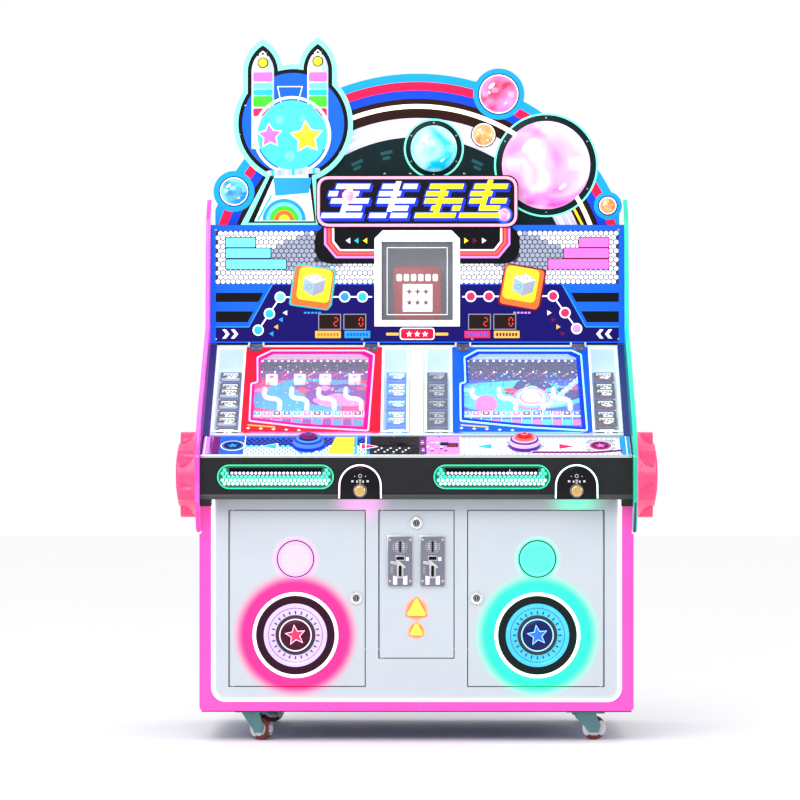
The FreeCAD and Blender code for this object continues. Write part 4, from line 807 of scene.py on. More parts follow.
HEX_PITCH = 11.2
for sign, middle in STATIONS.items():
    piece = open_piece()
    spot = (FASCIA, at(middle, GRILLE_LEVEL, 4))
    slot_rise = SLOT_LEVEL - GRILLE_LEVEL
    add(piece, stadium_ring(307, 64, 3, 1.2), MINT_EDGE, *spot)
    for row in range(-3, 4):
        y = row * HEX_PITCH * math.sqrt(3) / 2 * 0.92
        for column in range(-15, 16):
            x = (column + 0.5 * (row % 2)) * HEX_PITCH
            if not in_stadium(x, y, 301 - HEX_PITCH, 58 - HEX_PITCH * 0.6):
                continue
            if in_stadium(x, y - slot_rise, 244 + HEX_PITCH, 16 + HEX_PITCH * 0.5):
                continue
            power = "bright" if y < -2 else "middle" if abs(x) > 122 or y < 12 else "dim"
            add(piece, slab(disc_points(4.9, 6, 30), 1.5, 0.7, 1), HEX_LIT[power], *spot, at(x, y))
    for i in range(23):
        x = -115.5 + 10.5 * i
        add(piece, slab(disc_points(4.2, 6, 30), 1.6, 0.6, 1), SLOT_LIT, FASCIA,
            at(middle + x, SLOT_LEVEL - 3, -9))
    add(piece, slab(bar_points(248, 4.5, 2, 3), 0.8), SLOT_SHADE_BLACK, *spot, at(0, slot_rise + 9.5))
    close_piece(piece, ("left" if sign < 0 else "right") + "_grille_lenses", "root")
dress("slot_grilles", GRILLE_BACK)

# %% Launcher plates and plungers
for side, sign in SIDES:
    piece = open_piece()
    x = LAUNCHER_X[sign]
    spot = (FASCIA, at(x, 679, 8))
    arch = [(-55, -33)] + [(54.5 * math.cos(math.radians(a)), 54.5 * math.sin(math.radians(a)))
                           for a in range(180, -1, -6)] + [(55, -33)]
    add(piece, tube(arch, 2.2), LED_WHITE[sign], *spot)
    plate = finish(side + "_launcher_face", (0.004, 0.004, 0.006), 0.15, shine=0.15, amount=0.2)
    inner = [(0.88 * a, 0.92 * b) for a, b in arch]
    add(piece, slab(inner, 1.2, 0.6), plate, *spot)
    mark = finish(side + "_launcher_marks", (0.55, 0.56, 0.6), 0.4, glow=ink(200, 200, 215), strength=0.2)
    for dx, dy, wide, tall in ((-14, 25, 3, 2), (14, 25, 3, 2), (-20, 12, 6, 5), (20, 12, 6, 5),
                               (-8, 11, 4, 6), (8, 11, 4, 6)):
        add(piece, slab(bar_points(wide, tall, 0.8, 2), 1.6), mark, *spot, at(dx, dy))
    add(piece, ring(5, 3.6, 1.7, 0.2, 20), mark, *spot, at(0, 26))
    for i in range(3):
        add(piece, slab([(-5 + i, 0), (5 - i, 0), (0, -3.5)], 1.6), mark, *spot, at(0, 16 - 5 * i))
    add(piece, ring(18, 9, 2.4, 0.8, 40), DIE_CAST, *spot, at(0, -13))
    close_piece(piece, side + "_launcher_trim", "root")
    piece = open_piece()
    knob = (FASCIA, at(x, 666, 14))
    profile = [(0, 15.8), (8, 15.6), (12, 14), (14, 11), (14.8, 8), (14.8, 4), (13.4, 2), (9, 1.2),
               (5.5, 0), (0, 0)]
    add(piece, turned(profile, 48), BRASS, *knob)
    for i in range(24):
        add(piece, slab(bar_points(1.3, 1.2), 6, 0.3), BRASS, *knob, at(0, 0, 3, 15 * i), at(14.6, 0))
    add(piece, ring(9, 7.6, 0.6, 0.2, 32), BRASS, *knob, at(0, 0, 15.3))
    close_piece(piece, side + "_plunger_knob", side + "_plunger")

SILVER = finish("silver_trim", (0.62, 0.66, 0.68), 0.25, metal=0.9, scale=60.0, amount=0.1)
FASCIA_GREY = finish("fascia_strip", (0.045, 0.05, 0.052), 0.4, metal=0.3, amount=0.2)
piece = open_piece()
add(piece, slab(bar_points(1139, 8, 2), 2.2, 0.8), SILVER, FASCIA, at(0, 757))
add(piece, slab(bar_points(1139, 13, 1), 1.4, 0.5), FASCIA_GREY, FASCIA, at(0, 649.5))
close_piece(piece, "control_trim", "root")


# %% [markdown]
# ## The control deck
# The deck is a printed sheet under clear lacquer: a field of small hexagons, arrows beside each
# dial, an emblem at each end and bright end caps. Every print is a thin layer, a little higher
# than the one under it.

# %% Printed layers
LAYER = 0.35


def printed(name, *colour, rough=0.3, glow=0.3):
    """Ink with a faint glow of its own colour: lamp light let through lit acrylic, and painted light on the
    packs and the prize.
    """
    return finish(name, ink(*colour), rough, amount=0.05, glow=ink(*colour), strength=glow,
                  shine=0.12)


def shape_print(piece, points, layer, colour, *places):
    """A flat outline printed a number of layers thick."""
    add(piece, slab(points, LAYER * layer), colour, *places)


def line_points(start, end, width):
    """A straight stroke between two spots."""
    a, b = Vector(start), Vector(end)
    side = (b - a).normalized()
    side = Vector((-side.y, side.x)) * width / 2
    return [tuple(v) for v in (a - side, b - side, b + side, a + side)]


def stroke(piece, points, width, layer, colour, *places, closed=False):
    """A printed line through several spots, with round joints."""
    pairs = list(zip(points, points[1:] + points[:1])) if closed else list(zip(points, points[1:]))
    for start, end in pairs:
        shape_print(piece, line_points(start, end, width), layer, colour, *places)
    for spot in points:
        shape_print(piece, disc_points(width / 2, 12), layer + 0.02, colour, *places, at(*spot))


def hex_field(piece, corners, pitch, radius, layer, colours, *places, skip=None):
    """Small hexagons in staggered rows over a rectangle, coloured in bands by colours(x, y)."""
    (x0, y0), (x1, y1) = corners
    rise = pitch * math.sqrt(3) / 2
    for row in range(int((y1 - y0) / rise) + 1):
        for column in range(int((x1 - x0) / pitch) + 1):
            x = x0 + (column + 0.5 * (row % 2)) * pitch
            y = y0 + row * rise
            if x > x1 or (skip and skip(x, y)):
                continue
            shape_print(piece, disc_points(radius, 6, 30), layer, colours(x, y), *places, at(x, y))


WHITE = printed("white_print", 245, 247, 252, glow=0.45)
GREY = printed("grey_print", 165, 172, 188, glow=0.3)
ROYAL = printed("royal_print", 18, 92, 240)
NAVY = printed("navy_print", 14, 4, 92)
CYAN = printed("cyan_print", 110, 232, 238)
TEAL = printed("teal_print", 40, 185, 200)
SKY = printed("sky_print", 40, 150, 240)
ROSE = printed("rose_print", 240, 40, 95)
MAROON = printed("maroon_print", 110, 12, 50)
PINK_INK = printed("pink_print", 252, 112, 232)
PURPLE = printed("purple_print", 110, 10, 100)
GOLD = printed("gold_print", 240, 180, 70)
YELLOW = printed("yellow_print", 250, 225, 50)
LILAC = printed("lilac_print", 205, 140, 250)
ORANGE = printed("orange_print", 250, 110, 50)
INK_BLACK = printed("black_print", 6, 6, 14, glow=0.0)
GREEN = printed("green_print", 70, 225, 50)

# %% Print on the deck
piece = open_piece()
DECK_LONG, DIAL_X, EMBLEM_X = 127, 286, 487
shape_print(piece, bar_points(590, DECK_LONG - 6), 1, ROYAL, DECK, at(-268, DECK_LONG / 2))
shape_print(piece, bar_points(150, DECK_LONG - 6), 1.5, INK_BLACK, DECK, at(-48, DECK_LONG / 2))
shape_print(piece, bar_points(110, DECK_LONG - 6), 1.5, LILAC, DECK, at(62, DECK_LONG / 2))
shape_print(piece, bar_points(450, DECK_LONG - 6), 1, GREY, DECK, at(342, DECK_LONG / 2))
shape_print(piece, [(-455, 4), (-70, 4), (-130, 30), (-455, 66)], 1.5, SKY, DECK)


def deck_left(x, y):
    """White hexagons by the player, then cyan, then navy."""
    return WHITE if y < 46 + (x + 455) * 0.08 else CYAN if y < 64 else NAVY


def deck_right(x, y):
    """White hexagons all over."""
    return WHITE


def off_dial(x, y):
    """Whether a hexagon would lie under a dial or an emblem."""
    under_dial = math.hypot(abs(x) - DIAL_X, y - DECK_LONG / 2) < 46
    return under_dial or abs(abs(x) - EMBLEM_X) < 33 and abs(y - 62) < 33


hex_field(piece, ((-452, 10), (-132, 118)), 14, 6.0, 2.5, deck_left, DECK, skip=off_dial)
hex_field(piece, ((120, 10), (552, 118)), 14, 6.2, 2.5, deck_right, DECK, skip=off_dial)
shape_print(piece, [(-235, 8), (-165, 8), (-165, 119), (-215, 119)], 3.2, YELLOW, DECK)
stroke(piece, [(-160, 5), (-160, 122)], 7, 3.3, TEAL, DECK)
for x, colour, rim in ((-EMBLEM_X, NAVY, SKY), (EMBLEM_X, MAROON, PINK_INK)):
    place = (DECK, at(x, 62))
    shape_print(piece, disc_points(32), 3.2, WHITE, *place)
    shape_print(piece, disc_points(29), 4, colour, *place)
    add(piece, ring(26, 24.4, 4.6 * LAYER), rim, *place)
    shape_print(piece, star_points(15, 6.5, 5, 98), 4.6, rim, *place)
for x, face, rim in ((-388, -1, TEAL), (182, -1, TEAL), (-128, 1, ROSE), (395, 1, ROSE)):
    for grow, layer, colour in ((1.28, 3.6, WHITE), (1.0, 4.2, rim)):
        points = [(face * 23 * grow, 0), (-face * 17 * grow, 17 * grow), (-face * 17 * grow, -17 * grow)]
        shape_print(piece, rounded(points, 3), layer, colour, DECK, at(x, 56))
stroke(piece, [(-110, 72), (-20, 72)], 16, 3.4, INK_BLACK, DECK)
for i in range(12):
    shape_print(piece, disc_points(3.2, 6, 30), 3.4, WHITE, DECK, at(-108 + 8 * i, 22 + (i % 3) * 12))
shape_print(piece, bar_points(54, 40, 5), 3.4, INK_BLACK, DECK, at(-30, 84))
for i in range(6):
    for k in range(3):
        if (i + 2 * k) % 4 != 3:
            shape_print(piece, bar_points(7, 7, 1), 3.6, (WHITE, PINK_INK, MAROON)[(i + k) % 3], DECK,
                        at(18 + 12 * i, 30 + 13 * k))
            shape_print(piece, bar_points(9, 4, 1), 3.6, (PINK_INK, WHITE)[k % 2], DECK,
                        at(16 + 13 * i, 72 + 11 * k))
for x, wide, tall, colour in ((96, 30, 26, MAROON), (74, 22, 20, INK_BLACK), (106, 16, 18, GREY)):
    shape_print(piece, bar_points(wide, tall, 2), 4, colour, DECK, at(x, 96 - wide))
stroke(piece, [(310, 18), (470, 18), (540, 30)], 12, 3.4, PURPLE, DECK)
for x in (-134, 117, 556, -560, -455):
    stroke(piece, [(x, 5), (x, 122)], 2.6, 4.4, WHITE, DECK)
for x, colour in ((-535, PURPLE), (-552, LILAC), (552, SKY)):
    shape_print(piece, bar_points(26, 116, 4), 3.4, colour, DECK, at(x, DECK_LONG / 2))
for x in (-545, -300, -60, 60, 300, 545):
    for y in (8, 119):
        screw(piece, DECK, at(x, y), radius=2.6, height=1.2)
close_piece(piece, "deck_print", "root")

# %% Dials and buttons
for side, sign in SIDES:
    body = printed(side + "_dial_body", *((70, 125, 235) if sign < 0 else (205, 175, 245)), glow=0.2)
    base = printed(side + "_dial_base", *((25, 45, 190) if sign < 0 else (95, 30, 150)), glow=0.25)
    collar = printed(side + "_dial_collar", *((60, 150, 245) if sign < 0 else (240, 140, 120)), glow=0.3)
    top = printed(side + "_button_top", *((115, 20, 75) if sign < 0 else (215, 20, 40)), glow=0.25)
    rim = printed(side + "_button_rim", *((40, 20, 110) if sign < 0 else (240, 100, 90)), glow=0.2)
    spot = (DECK, at(sign * DIAL_X, DECK_LONG / 2))
    dress(side + "_dial", base, 0.4)
    piece = open_piece()
    add(piece, turned([(24.6, 8), (24.6, 22.5), (27, 24.4), (31, 23.4), (36, 20.4), (39.6, 15.6), (41.4, 9.6),
                       (41, 8.8), (24.6, 8)], 72), body, *spot)
    add(piece, turned([(24.6, 1.4), (24.6, 8.2), (41.2, 8.2), (42, 6.4), (42, 2.8), (41, 1.4), (24.6, 1.4)],
                      72), base, *spot)
    add(piece, ring(29.4, 26.6, 25.2, 1.0, 60), collar, *spot)
    for i in range(36):
        add(piece, slab(bar_points(1.6, 2.4, 0.5, 2), 5, 0.4), base, *spot, at(0, 0, 2, 10 * i),
            at(41.3, 0))
    add(piece, turned([(0, 9.4), (24.6, 9.4), (24.6, 10.2), (0, 10.2)], 40), INK_BLACK, *spot)
    close_piece(piece, side + "_dial_ring", side + "_dial")
    piece = open_piece()
    add(piece, turned([(0, 36), (7, 35.6), (14, 33.9), (19, 31), (22.4, 27), (23.8, 22), (23.8, 15),
                       (0, 15)], 64), top, *spot)
    add(piece, turned([(21.6, 29), (23.2, 26), (24.1, 23), (23.6, 22.4), (21.4, 27), (21.6, 29)], 64), rim,
        *spot)
    # A thin ring near the crown of each button cap, in a lighter colour, is a painted highlight.
    shine = printed(side + "_button_painted_highlight", *((60, 80, 200) if sign < 0 else (250, 150, 150)), glow=0.3)
    add(piece, turned([(7, 36.1), (9.6, 35.7), (9.6, 35.0), (7, 35.0), (7, 36.1)], 40), shine, *spot)
    made = close_piece(piece, side + "_button_cap", side + "_button")
    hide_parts(side + "_button")
print("deck and dials done")

# %% [markdown]
# ## The play area
# Under each glass lid lies a lit playfield with brass pins, white guide tubes and a row of marked
# pockets. The lid carries a coloured frame, printed under the glass, with a neon outline, and
# leaves four bays clear, where packs are stacked.

# %% Lids: clear glass, printed frame and neon
SLOPE_TURN = math.radians(PLAY_ANGLE)


def on_slope(c):
    """Distance up the play area and height over it, in millimetres, of a spot of the row frame."""
    y, z = c.y - PLAY_FRONT, c.z - PLAY_LEVEL
    return (y * math.cos(SLOPE_TURN) + z * math.sin(SLOPE_TURN),
            z * math.cos(SLOPE_TURN) - y * math.sin(SLOPE_TURN))


def holed(outer, inner, thick, bottom=0.0):
    """A slab with a window."""
    bm = bmesh.new()
    edges = []
    for loop in (outer, inner):
        verts = [bm.verts.new((x, y, bottom)) for x, y in loop]
        edges += [bm.edges.new(pair) for pair in zip(verts, verts[1:] + verts[:1])]
    bmesh.ops.triangle_fill(bm, use_beauty=True, use_dissolve=False, edges=edges)
    made = bmesh.ops.extrude_face_region(bm, geom=list(bm.faces))
    top = [v for v in made["geom"] if isinstance(v, bmesh.types.BMVert)]
    bmesh.ops.translate(bm, verts=top, vec=(0, 0, thick))
    bmesh.ops.recalc_face_normals(bm, faces=bm.faces)
    return bm


def box_points(x0, x1, y0, y1):
    """A rectangle between two corners."""
    return [(x0, y0), (x1, y0), (x1, y1), (x0, y1)]


def mirror_points(points, sign):
    """The outline itself, or its mirror image with the same winding."""
    made = [(sign * x, y) for x, y in points]
    return made if sign > 0 else made[::-1]


CLEAR = finish("lid_glass", (0.9, 0.95, 1.0), 0.04, amount=0.0, bump=0.0, alpha=0.09)
OUTLINES = {
    -1: [(-438, 354), (-400, 388), (-143, 388), (-118, 367), (-129, 8), (-300, 24), (-448, 53),
         (-450, 228), (-433, 235)],
    1: [(130, 354), (165, 388), (425, 388), (450, 367), (455, 8), (290, 24), (118, 53), (118, 228),
        (132, 235)],
}
FRAME_INK = {-1: printed("red_frame", 238, 14, 44, glow=0.45),
             1: printed("blue_frame", 0, 82, 238, glow=0.45)}
FRAME_TINT = {-1: printed("magenta_frame", 225, 12, 130, glow=0.45),
              1: printed("deep_blue_frame", 8, 50, 205, glow=0.45)}
NEON = {-1: lit("neon_pink", ink(255, 165, 235), 1.1), 1: lit("neon_blue", ink(150, 225, 255), 1.1)}
BAY_WHITE = printed("bay_frame", 240, 244, 250, glow=0.5)
LID_TOP, LID_X = 6.3, 285
for side, sign in SIDES:
    dress(side + "_lid", CLEAR, 0.3)
    repaint(side + "_lid", DIE_CAST, lambda c: on_slope(c)[0] > 409 or on_slope(c)[1] > 6.6)
    piece = open_piece()
    near = OUTLINES[sign]
    centre = (sum(x for x, _ in near) / len(near), sum(y for _, y in near) / len(near))
    window = [(centre[0] + (x - centre[0]) * 0.93, centre[1] + (y - centre[1]) * 0.91) for x, y in near]
    spot = (PLAY, at(0, 0, LID_TOP))
    edge = sorted((sign * 96, sign * 470))
    add(piece, holed(box_points(*edge, 5, 407), near, 0.3), FRAME_INK[sign], *spot)
    add(piece, holed(near, window, 0.3), FRAME_TINT[sign], *spot)
    route = rounded(near, 6)
    add(piece, tube([(x, y, 2.0) for x, y in route], 2.4, closed=True), NEON[sign], *spot)
    for low_x, high_x in ((21.5, 96), (470, 549)):
        inner = box_points(low_x + 6, high_x - 6, 12, 398)
        add(piece, holed(mirror_points(box_points(low_x, high_x, 5, 407), sign),
                         mirror_points(inner, sign), 0.6), BAY_WHITE, *spot)
    for i in range(5):
        shape_print(piece, star_points(6, 2.6, 4, 90), 1.5, BAY_WHITE, *spot,
                    at(sign * LID_X - 165 + 34 * i, 22 - 2.4 * i))
    stroke(piece, [(sign * LID_X - 165, 36), (sign * LID_X - 95, 27)], 6, 1.4, GOLD, *spot)
    for share in (0.2, 0.8):
        x = sign * (20.5 + share * 529)
        for dx in (-9, 9):
            screw(piece, PLAY, at(x + dx, 397, 10.3), radius=3.2)
    close_piece(piece, side + "_lid_print", side + "_lid")

# %% Playfields
scatter = random.Random(11)
BOARD_TOP, FIELD_X = -39, 283
FIELD = {
    -1: {"ground": printed("field_magenta", 205, 8, 120, glow=0.5),
         "deep": printed("field_purple", 110, 14, 150, glow=0.5),
         "cloud": printed("field_sky", 30, 150, 235, glow=0.6),
         "spark": printed("field_pink", 255, 120, 225, glow=0.7)},
    1: {"ground": printed("field_blue", 8, 70, 220, glow=0.5),
        "deep": printed("field_navy", 12, 20, 130, glow=0.4),
        "cloud": printed("field_cyan", 40, 195, 240, glow=0.6),
        "spark": printed("field_ice", 150, 235, 255, glow=0.8)},
}
LED_DOT = lit("field_led", ink(250, 248, 255), 1.3)
TUBE_WHITE = finish("tube_white", (0.86, 0.86, 0.9), 0.2, coat=0.6, amount=0.04, glow=(0.8, 0.78, 0.9),
                    strength=0.35)
dress("guide_tubes", TUBE_WHITE, 0.2)


def blob(radius, wobble, seed, count=28):
    """A soft cloud outline."""
    dice = random.Random(seed)
    turns = [dice.uniform(0, math.tau) for _ in range(3)]
    points = []
    for i in range(count):
        a = math.tau * i / count
        r = radius * (1 + wobble * sum(math.sin((k + 2) * a + turns[k]) for k in range(3)) / 3)
        points.append((r * math.cos(a), r * math.sin(a) * 0.6))
    return points


for side, sign in SIDES:
    inks = FIELD[sign]
    piece = open_piece()
    field = (PLAY, at(sign * FIELD_X, 0, BOARD_TOP))
    shape_print(piece, bar_points(364, 408, 24), 1, inks["ground"], *field, at(0, 213))
    shape_print(piece, bar_points(330, 96, 20), 1.6, inks["deep"], *field, at(0, 362))
    shape_print(piece, bar_points(300, 46, 16), 2.2, NAVY, *field, at(0, 378))
    shape_print(piece, blob(150, 0.3, 3 + sign), 2.2, inks["cloud"], *field, at(-10, 232))
    shape_print(piece, blob(95, 0.4, 8 + sign), 2.8, inks["deep"], *field, at(55, 250))
    shape_print(piece, blob(70, 0.4, 12 + sign), 3.4, inks["cloud"], *field, at(-80, 205))
    shape_print(piece, blob(52, 0.5, 17 + sign), 4.0, inks["spark"], *field, at(62, 212))
    for k in range(6):
        shape_print(piece, blob(18, 0.4, 40 + k), 4.4, (inks["spark"], inks["cloud"], ROSE)[k % 3], *field,
                    at(-140 + 56 * k, 262 + 10 * (k % 2)))
    for i in range(17):
        x = -144 + 18 * i
        add(piece, turned([(0, 4.4), (2.4, 3.6), (3.4, 1.4), (3.4, 0), (0, 0)], 10), LED_DOT, *field,
            at(x, 404))
        if i % 2 == 0:
            add(piece, turned([(0, 4.0), (1.8, 3.2), (2.4, 1.2), (2.4, 0), (0, 0)], 10), LED_DOT, *field,
                at(x, 350))
    for i in range(70):
        x, y = scatter.uniform(-165, 165), scatter.uniform(170, 400)
        shape_print(piece, star_points(scatter.uniform(2.0, 5.0), 1.0, 4, scatter.uniform(0, 90)), 5,
                    scatter.choice((WHITE, inks["spark"], WHITE, CYAN)), *field, at(x, y))
    for i in range(8):
        x = -120 + 34 * i
        stroke(piece, [(x, 330), (x + 14, 344)], 4, 4.6, (ORANGE, ROSE, CYAN, GOLD)[i % 4], *field)
    for i in range(12):
        x = -150 + 27.3 * i
        colour = (TEAL, PINK_INK, MAROON, ROYAL)[i % 4]
        add(piece, slab(bar_points(24, 22, 3), 6, 0.8), WHITE, *field, at(x, 147))
        add(piece, slab(bar_points(19, 17, 2), 6.6, 0.4), colour, *field, at(x, 147))
        shape_print(piece, star_points(6, 2.8, 4 + i % 3, 90), 20, WHITE, *field, at(x, 147))
        add(piece, slab(bar_points(2.4, 34, 1), 15, 0.6), inks["spark"], *field, at(x - 13.6, 116))
        other = PINK_INK if sign > 0 else inks["deep"]
        shape_print(piece, bar_points(22, 26, 3), 4.4, (inks["cloud"], other)[i % 2], *field, at(x, 112))
    rail = rounded(box_points(-176, 176, 60, 410), 26)
    add(piece, tube([(x, y, 6) for x, y in rail], 3, closed=True), inks["spark"], *field)
    inner_rail = [(x * 0.94, 235 + (y - 235) * 0.95, 12) for x, y in rail]
    add(piece, tube(inner_rail, 1.6, closed=True), CHROME, *field)
    if sign < 0:
        for x, colour in ((-115, ROSE), (-38, TEAL), (32, GREY), (112, LILAC)):
            add(piece, slab(bar_points(33, 33, 5), 16, 2), TUBE_WHITE, *field, at(x, 305))
            shape_print(piece, star_points(9, 4, 5, 90), 47, colour, *field, at(x, 305))
    if sign > 0:
        add(piece, turned([(0, 26), (14, 24), (24, 18), (30, 9), (31, 0), (0, 0)], 40),
            lit("pink_dome", ink(255, 90, 190), 0.8), *field, at(-95, 192))
        add(piece, turned([(0, 20), (18, 17), (27, 8), (29, 0), (0, 0)], 32), TUBE_WHITE, *field, at(28, 222))
        for k, colour in enumerate((PINK_INK, CYAN, WHITE, LILAC)):
            add(piece, ring(52 - 7 * k, 47 - 7 * k, 5 + k, 1, 48), colour, *field, at(28, 222))
        for k in range(9):
            add(piece, slab(bar_points(20, 12, 3), 9, 1.4), (TUBE_WHITE, inks["spark"])[k % 2], *field,
                at(76 + 11 * k, 190 + 16 * k, 0, 38))
    close_piece(piece, side + "_playfield", "root")

# %% Packs in the bays
SHELF = -74
PACK_ART = {(-1, 0): ((SKY, ROYAL, WHITE), "blue"), (-1, 1): ((INK_BLACK, GREY, WHITE), "black"),
            (1, 0): ((INK_BLACK, NAVY, GREY), "dark"), (1, 1): ((INK_BLACK, MAROON, WHITE), "night")}
BAY_GLOW = finish("bay_glow", (0.66, 0.78, 0.88), 0.4, amount=0.08, scale=12.0,
                  glow=ink(190, 215, 235), strength=0.35)
dress("play_tub", WHITE_PAINT)
repaint("play_tub", BAY_GLOW, lambda c: on_slope(c)[1] < -1.5)
for (sign, outer), (inks, tone) in PACK_ART.items():
    piece = open_piece()
    x = sign * (513 if outer else 55)
    wide = 56 if outer else 58
    for i in range(8):
        level = SHELF + 15 + (i % 3) * 17 / 3
        spot = (PLAY, at(x, 38 + 44.3 * i, level))
        add(piece, slab(bar_points(wide, 43, 1.5), 1.2, 0.4), inks[0], *spot)
        shape_print(piece, bar_points(wide - 6, 14, 2), 4.2, inks[1], *spot, at(0, -12))
        shape_print(piece, bar_points(wide - 16, 4, 1), 4.4, inks[2], *spot, at(0, 14))
        shape_print(piece, blob(13, 0.35, 60 + i), 4.6, inks[2], *spot, at(4, -2))
        shape_print(piece, disc_points(3.4, 12), 4.8, inks[0], *spot, at(2, -1))
        for k in range(5):
            shape_print(piece, bar_points(6, 3, 1), 4.6, inks[2], *spot, at(-wide / 2 + 10 + 9 * k, 8))
    close_piece(piece, tone + "_packs", "root")
print("play area done")

# %% [markdown]
# ## The backbox
# A royal-blue border frames a field of pale hexagons over a navy band. The score displays, the
# steps of the climb to the prize and two tilted tiles are mirrored left and right, in cold colours
# on the left and warm ones on the right.

# %% Backbox print
BASE_GREY = printed("hexagon_ground", 52, 56, 74, glow=0.2)
SHADE = printed("shaded_hexagon", 150, 157, 178, glow=0.25)
piece = open_piece()
WINDOW_HALF, WINDOW_LOW, WINDOW_HIGH = 102, 1120, 1346


def round_window(half, low, high):
    """Rectangles that cover a band of the face but leave the showcase's opening free."""
    parts = [box_points(-half, -WINDOW_HALF, low, high), box_points(WINDOW_HALF, half, low, high)]
    if low < WINDOW_LOW:
        parts.append(box_points(-WINDOW_HALF, WINDOW_HALF, low, WINDOW_LOW))
    if high > WINDOW_HIGH:
        parts.append(box_points(-WINDOW_HALF, WINDOW_HALF, WINDOW_HIGH, high))
    return parts


for half, low_edge, high_edge, layer, colour in (
        (569.5, 1063, 1388, 1, ROYAL), (556, 1066.5, 1223.5, 1.6, NAVY), (556, 1225, 1373, 1.6, BASE_GREY)):
    for points in round_window(half, low_edge, high_edge):
        shape_print(piece, points, layer, colour, BACKBOX)


def backbox_hexagon(x, y):
    """Grey hexagons in two slanted clouds, white ones round them."""
    return SHADE if abs(abs(x) - 300) + 2.4 * abs(y - 1305) < 150 else WHITE


def behind_title(x, y):
    """Whether a hexagon would lie under the title's surround or in the showcase's opening."""
    return abs(x) < 282 and y > 1283 or abs(x) < WINDOW_HALF + 8


hex_field(piece, ((-550, 1232), (552, 1370)), 14, 6.7, 2.4, backbox_hexagon, BACKBOX, skip=behind_title)
DOT_INKS = {-1: (TEAL, SKY, CYAN, TEAL, TEAL), 1: (ROSE, ROSE, ROSE, ROSE, LILAC)}
for side, sign in SIDES:
    cold = sign < 0
    bar_ink = CYAN if cold else PINK_INK
    corner = mirror_points([(556, 1107), (556, 1226), (401, 1226), (465, 1107)], sign)
    shape_print(piece, corner, 2.6, ROYAL, BACKBOX)
    for low_edge, high_edge in ((1176, 1201), (1120, 1150)):
        inner = [465 - 64 * (z - 1107) / 119 for z in (low_edge, high_edge)]
        stripe = [(556, low_edge), (556, high_edge), (inner[1] + 10, high_edge), (inner[0] + 10, low_edge)]
        shape_print(piece, mirror_points(stripe, sign), 3.2, INK_BLACK, BACKBOX)
    stroke(piece, [(sign * 398, 1228), (sign * 465, 1107), (sign * 556, 1107)], 3, 4, SKY, BACKBOX)
    for reach, low_edge, high_edge in ((447, 1327, 1353), (405, 1298, 1323), (362, 1267, 1293)):
        middle, wide = sign * (528 + reach) / 2, 528 - reach
        height = (low_edge + high_edge) / 2
        shape_print(piece, bar_points(wide + 5, 31, 4), 3.4, NAVY if cold else MAROON, BACKBOX,
                    at(middle, height))
        shape_print(piece, bar_points(wide, 26, 3), 4.4, bar_ink, BACKBOX, at(middle, height))
    for dx in (0, 24):
        tip = sign * (494 + dx)
        chevron = [(0, 0), (10, 0), (20, 12.5), (10, 25), (0, 25), (10, 12.5)]
        points = [(-sign * (a - 20), b) for a, b in chevron]
        shape_print(piece, points if sign < 0 else points[::-1], 4, WHITE, BACKBOX, at(tip, 1075))
    if cold:
        dots = [(-151, 1190), (-200, 1190), (-378, 1189), (-408, 1143.5), (-439, 1098)]
    else:
        dots = [(148, 1191), (198, 1191), (375, 1192), (408, 1146), (440, 1102)]
    stroke(piece, [(sign * 126, 1190)] + dots, 4, 3.4, WHITE, BACKBOX)
    for k, (x, z) in enumerate(dots):
        add(piece, turned([(0, 1.6), (13, 1.6), (15.4, 1.2), (15.4, 0), (0, 0)], 32), WHITE, BACKBOX,
            at(x, z))
        button = turned([(0, 3.2), (6, 2.9), (10.4, 2.1), (12, 1.4), (12, 0), (0, 0)], 32)
        add(piece, button, DOT_INKS[sign][k], BACKBOX, at(x, z))
    for k, (x, z) in enumerate(((364, 1146), (376, 1127), (389, 1107), (402, 1088))):
        colour = (WHITE, SKY if cold else MAROON, GOLD, SKY if cold else MAROON)[k]
        arrow = [(-7, 0), (5, 7), (5, -7)] if cold else [(7, 0), (-5, -7), (-5, 7)]
        shape_print(piece, arrow, 3.4, colour, BACKBOX, at(sign * x, z))
    tile = (BACKBOX, at(sign * 289, 1218, 0, sign * 8 if cold else -10))
    add(piece, slab(rounded([(-58, -60), (50, -60), (60, -44), (60, 58), (-50, 58), (-58, 40)], 9), 2.2, 0.6),
        TEAL if cold else MAROON, *tile)
    add(piece, slab(rounded([(-54, -56), (50, -56), (55, -40), (55, 54), (-54, 54)], 12), 5.5, 1.5), ORANGE,
        *tile)
    add(piece, slab(bar_points(92, 92, 14), 8.5, 1.6), YELLOW, *tile, at(5 if cold else -4, 6))
    cube = (*tile, at(4, 6, 8.5))
    for colour, points in ((GREY, [(-30, 16), (0, 4), (0, -32), (-30, -18)]),
                           (SHADE, [(0, 4), (30, 18), (28, -16), (0, -32)]),
                           (WHITE, [(-30, 16), (2, 30), (30, 18), (0, 4)])):
        add(piece, slab(points[::-1], 1.2, 0.3), colour, *cube)
    add(piece, ring(8, 5, 1.8, 0.3, 24), TEAL, *cube, at(-14, -8))
    for k in range(4):
        shape_print(piece, disc_points(2, 10), 4.6, INK_BLACK, *cube, at(-16 + 12 * k, 18 + 3 * (k % 2)))
    for k in range(5):
        shape_print(piece, bar_points(7, 5, 1), 3.4, SKY if cold else LILAC, BACKBOX,
                    at(sign * 289 - 20 + 10 * k, 1146))
    for x, z in ((556, 1375), (556, 1073), (152, 1073), (150, 1379)):
        if z < 1300 or x > 300:
            screw(piece, BACKBOX, at(sign * x, z), radius=3, height=1)

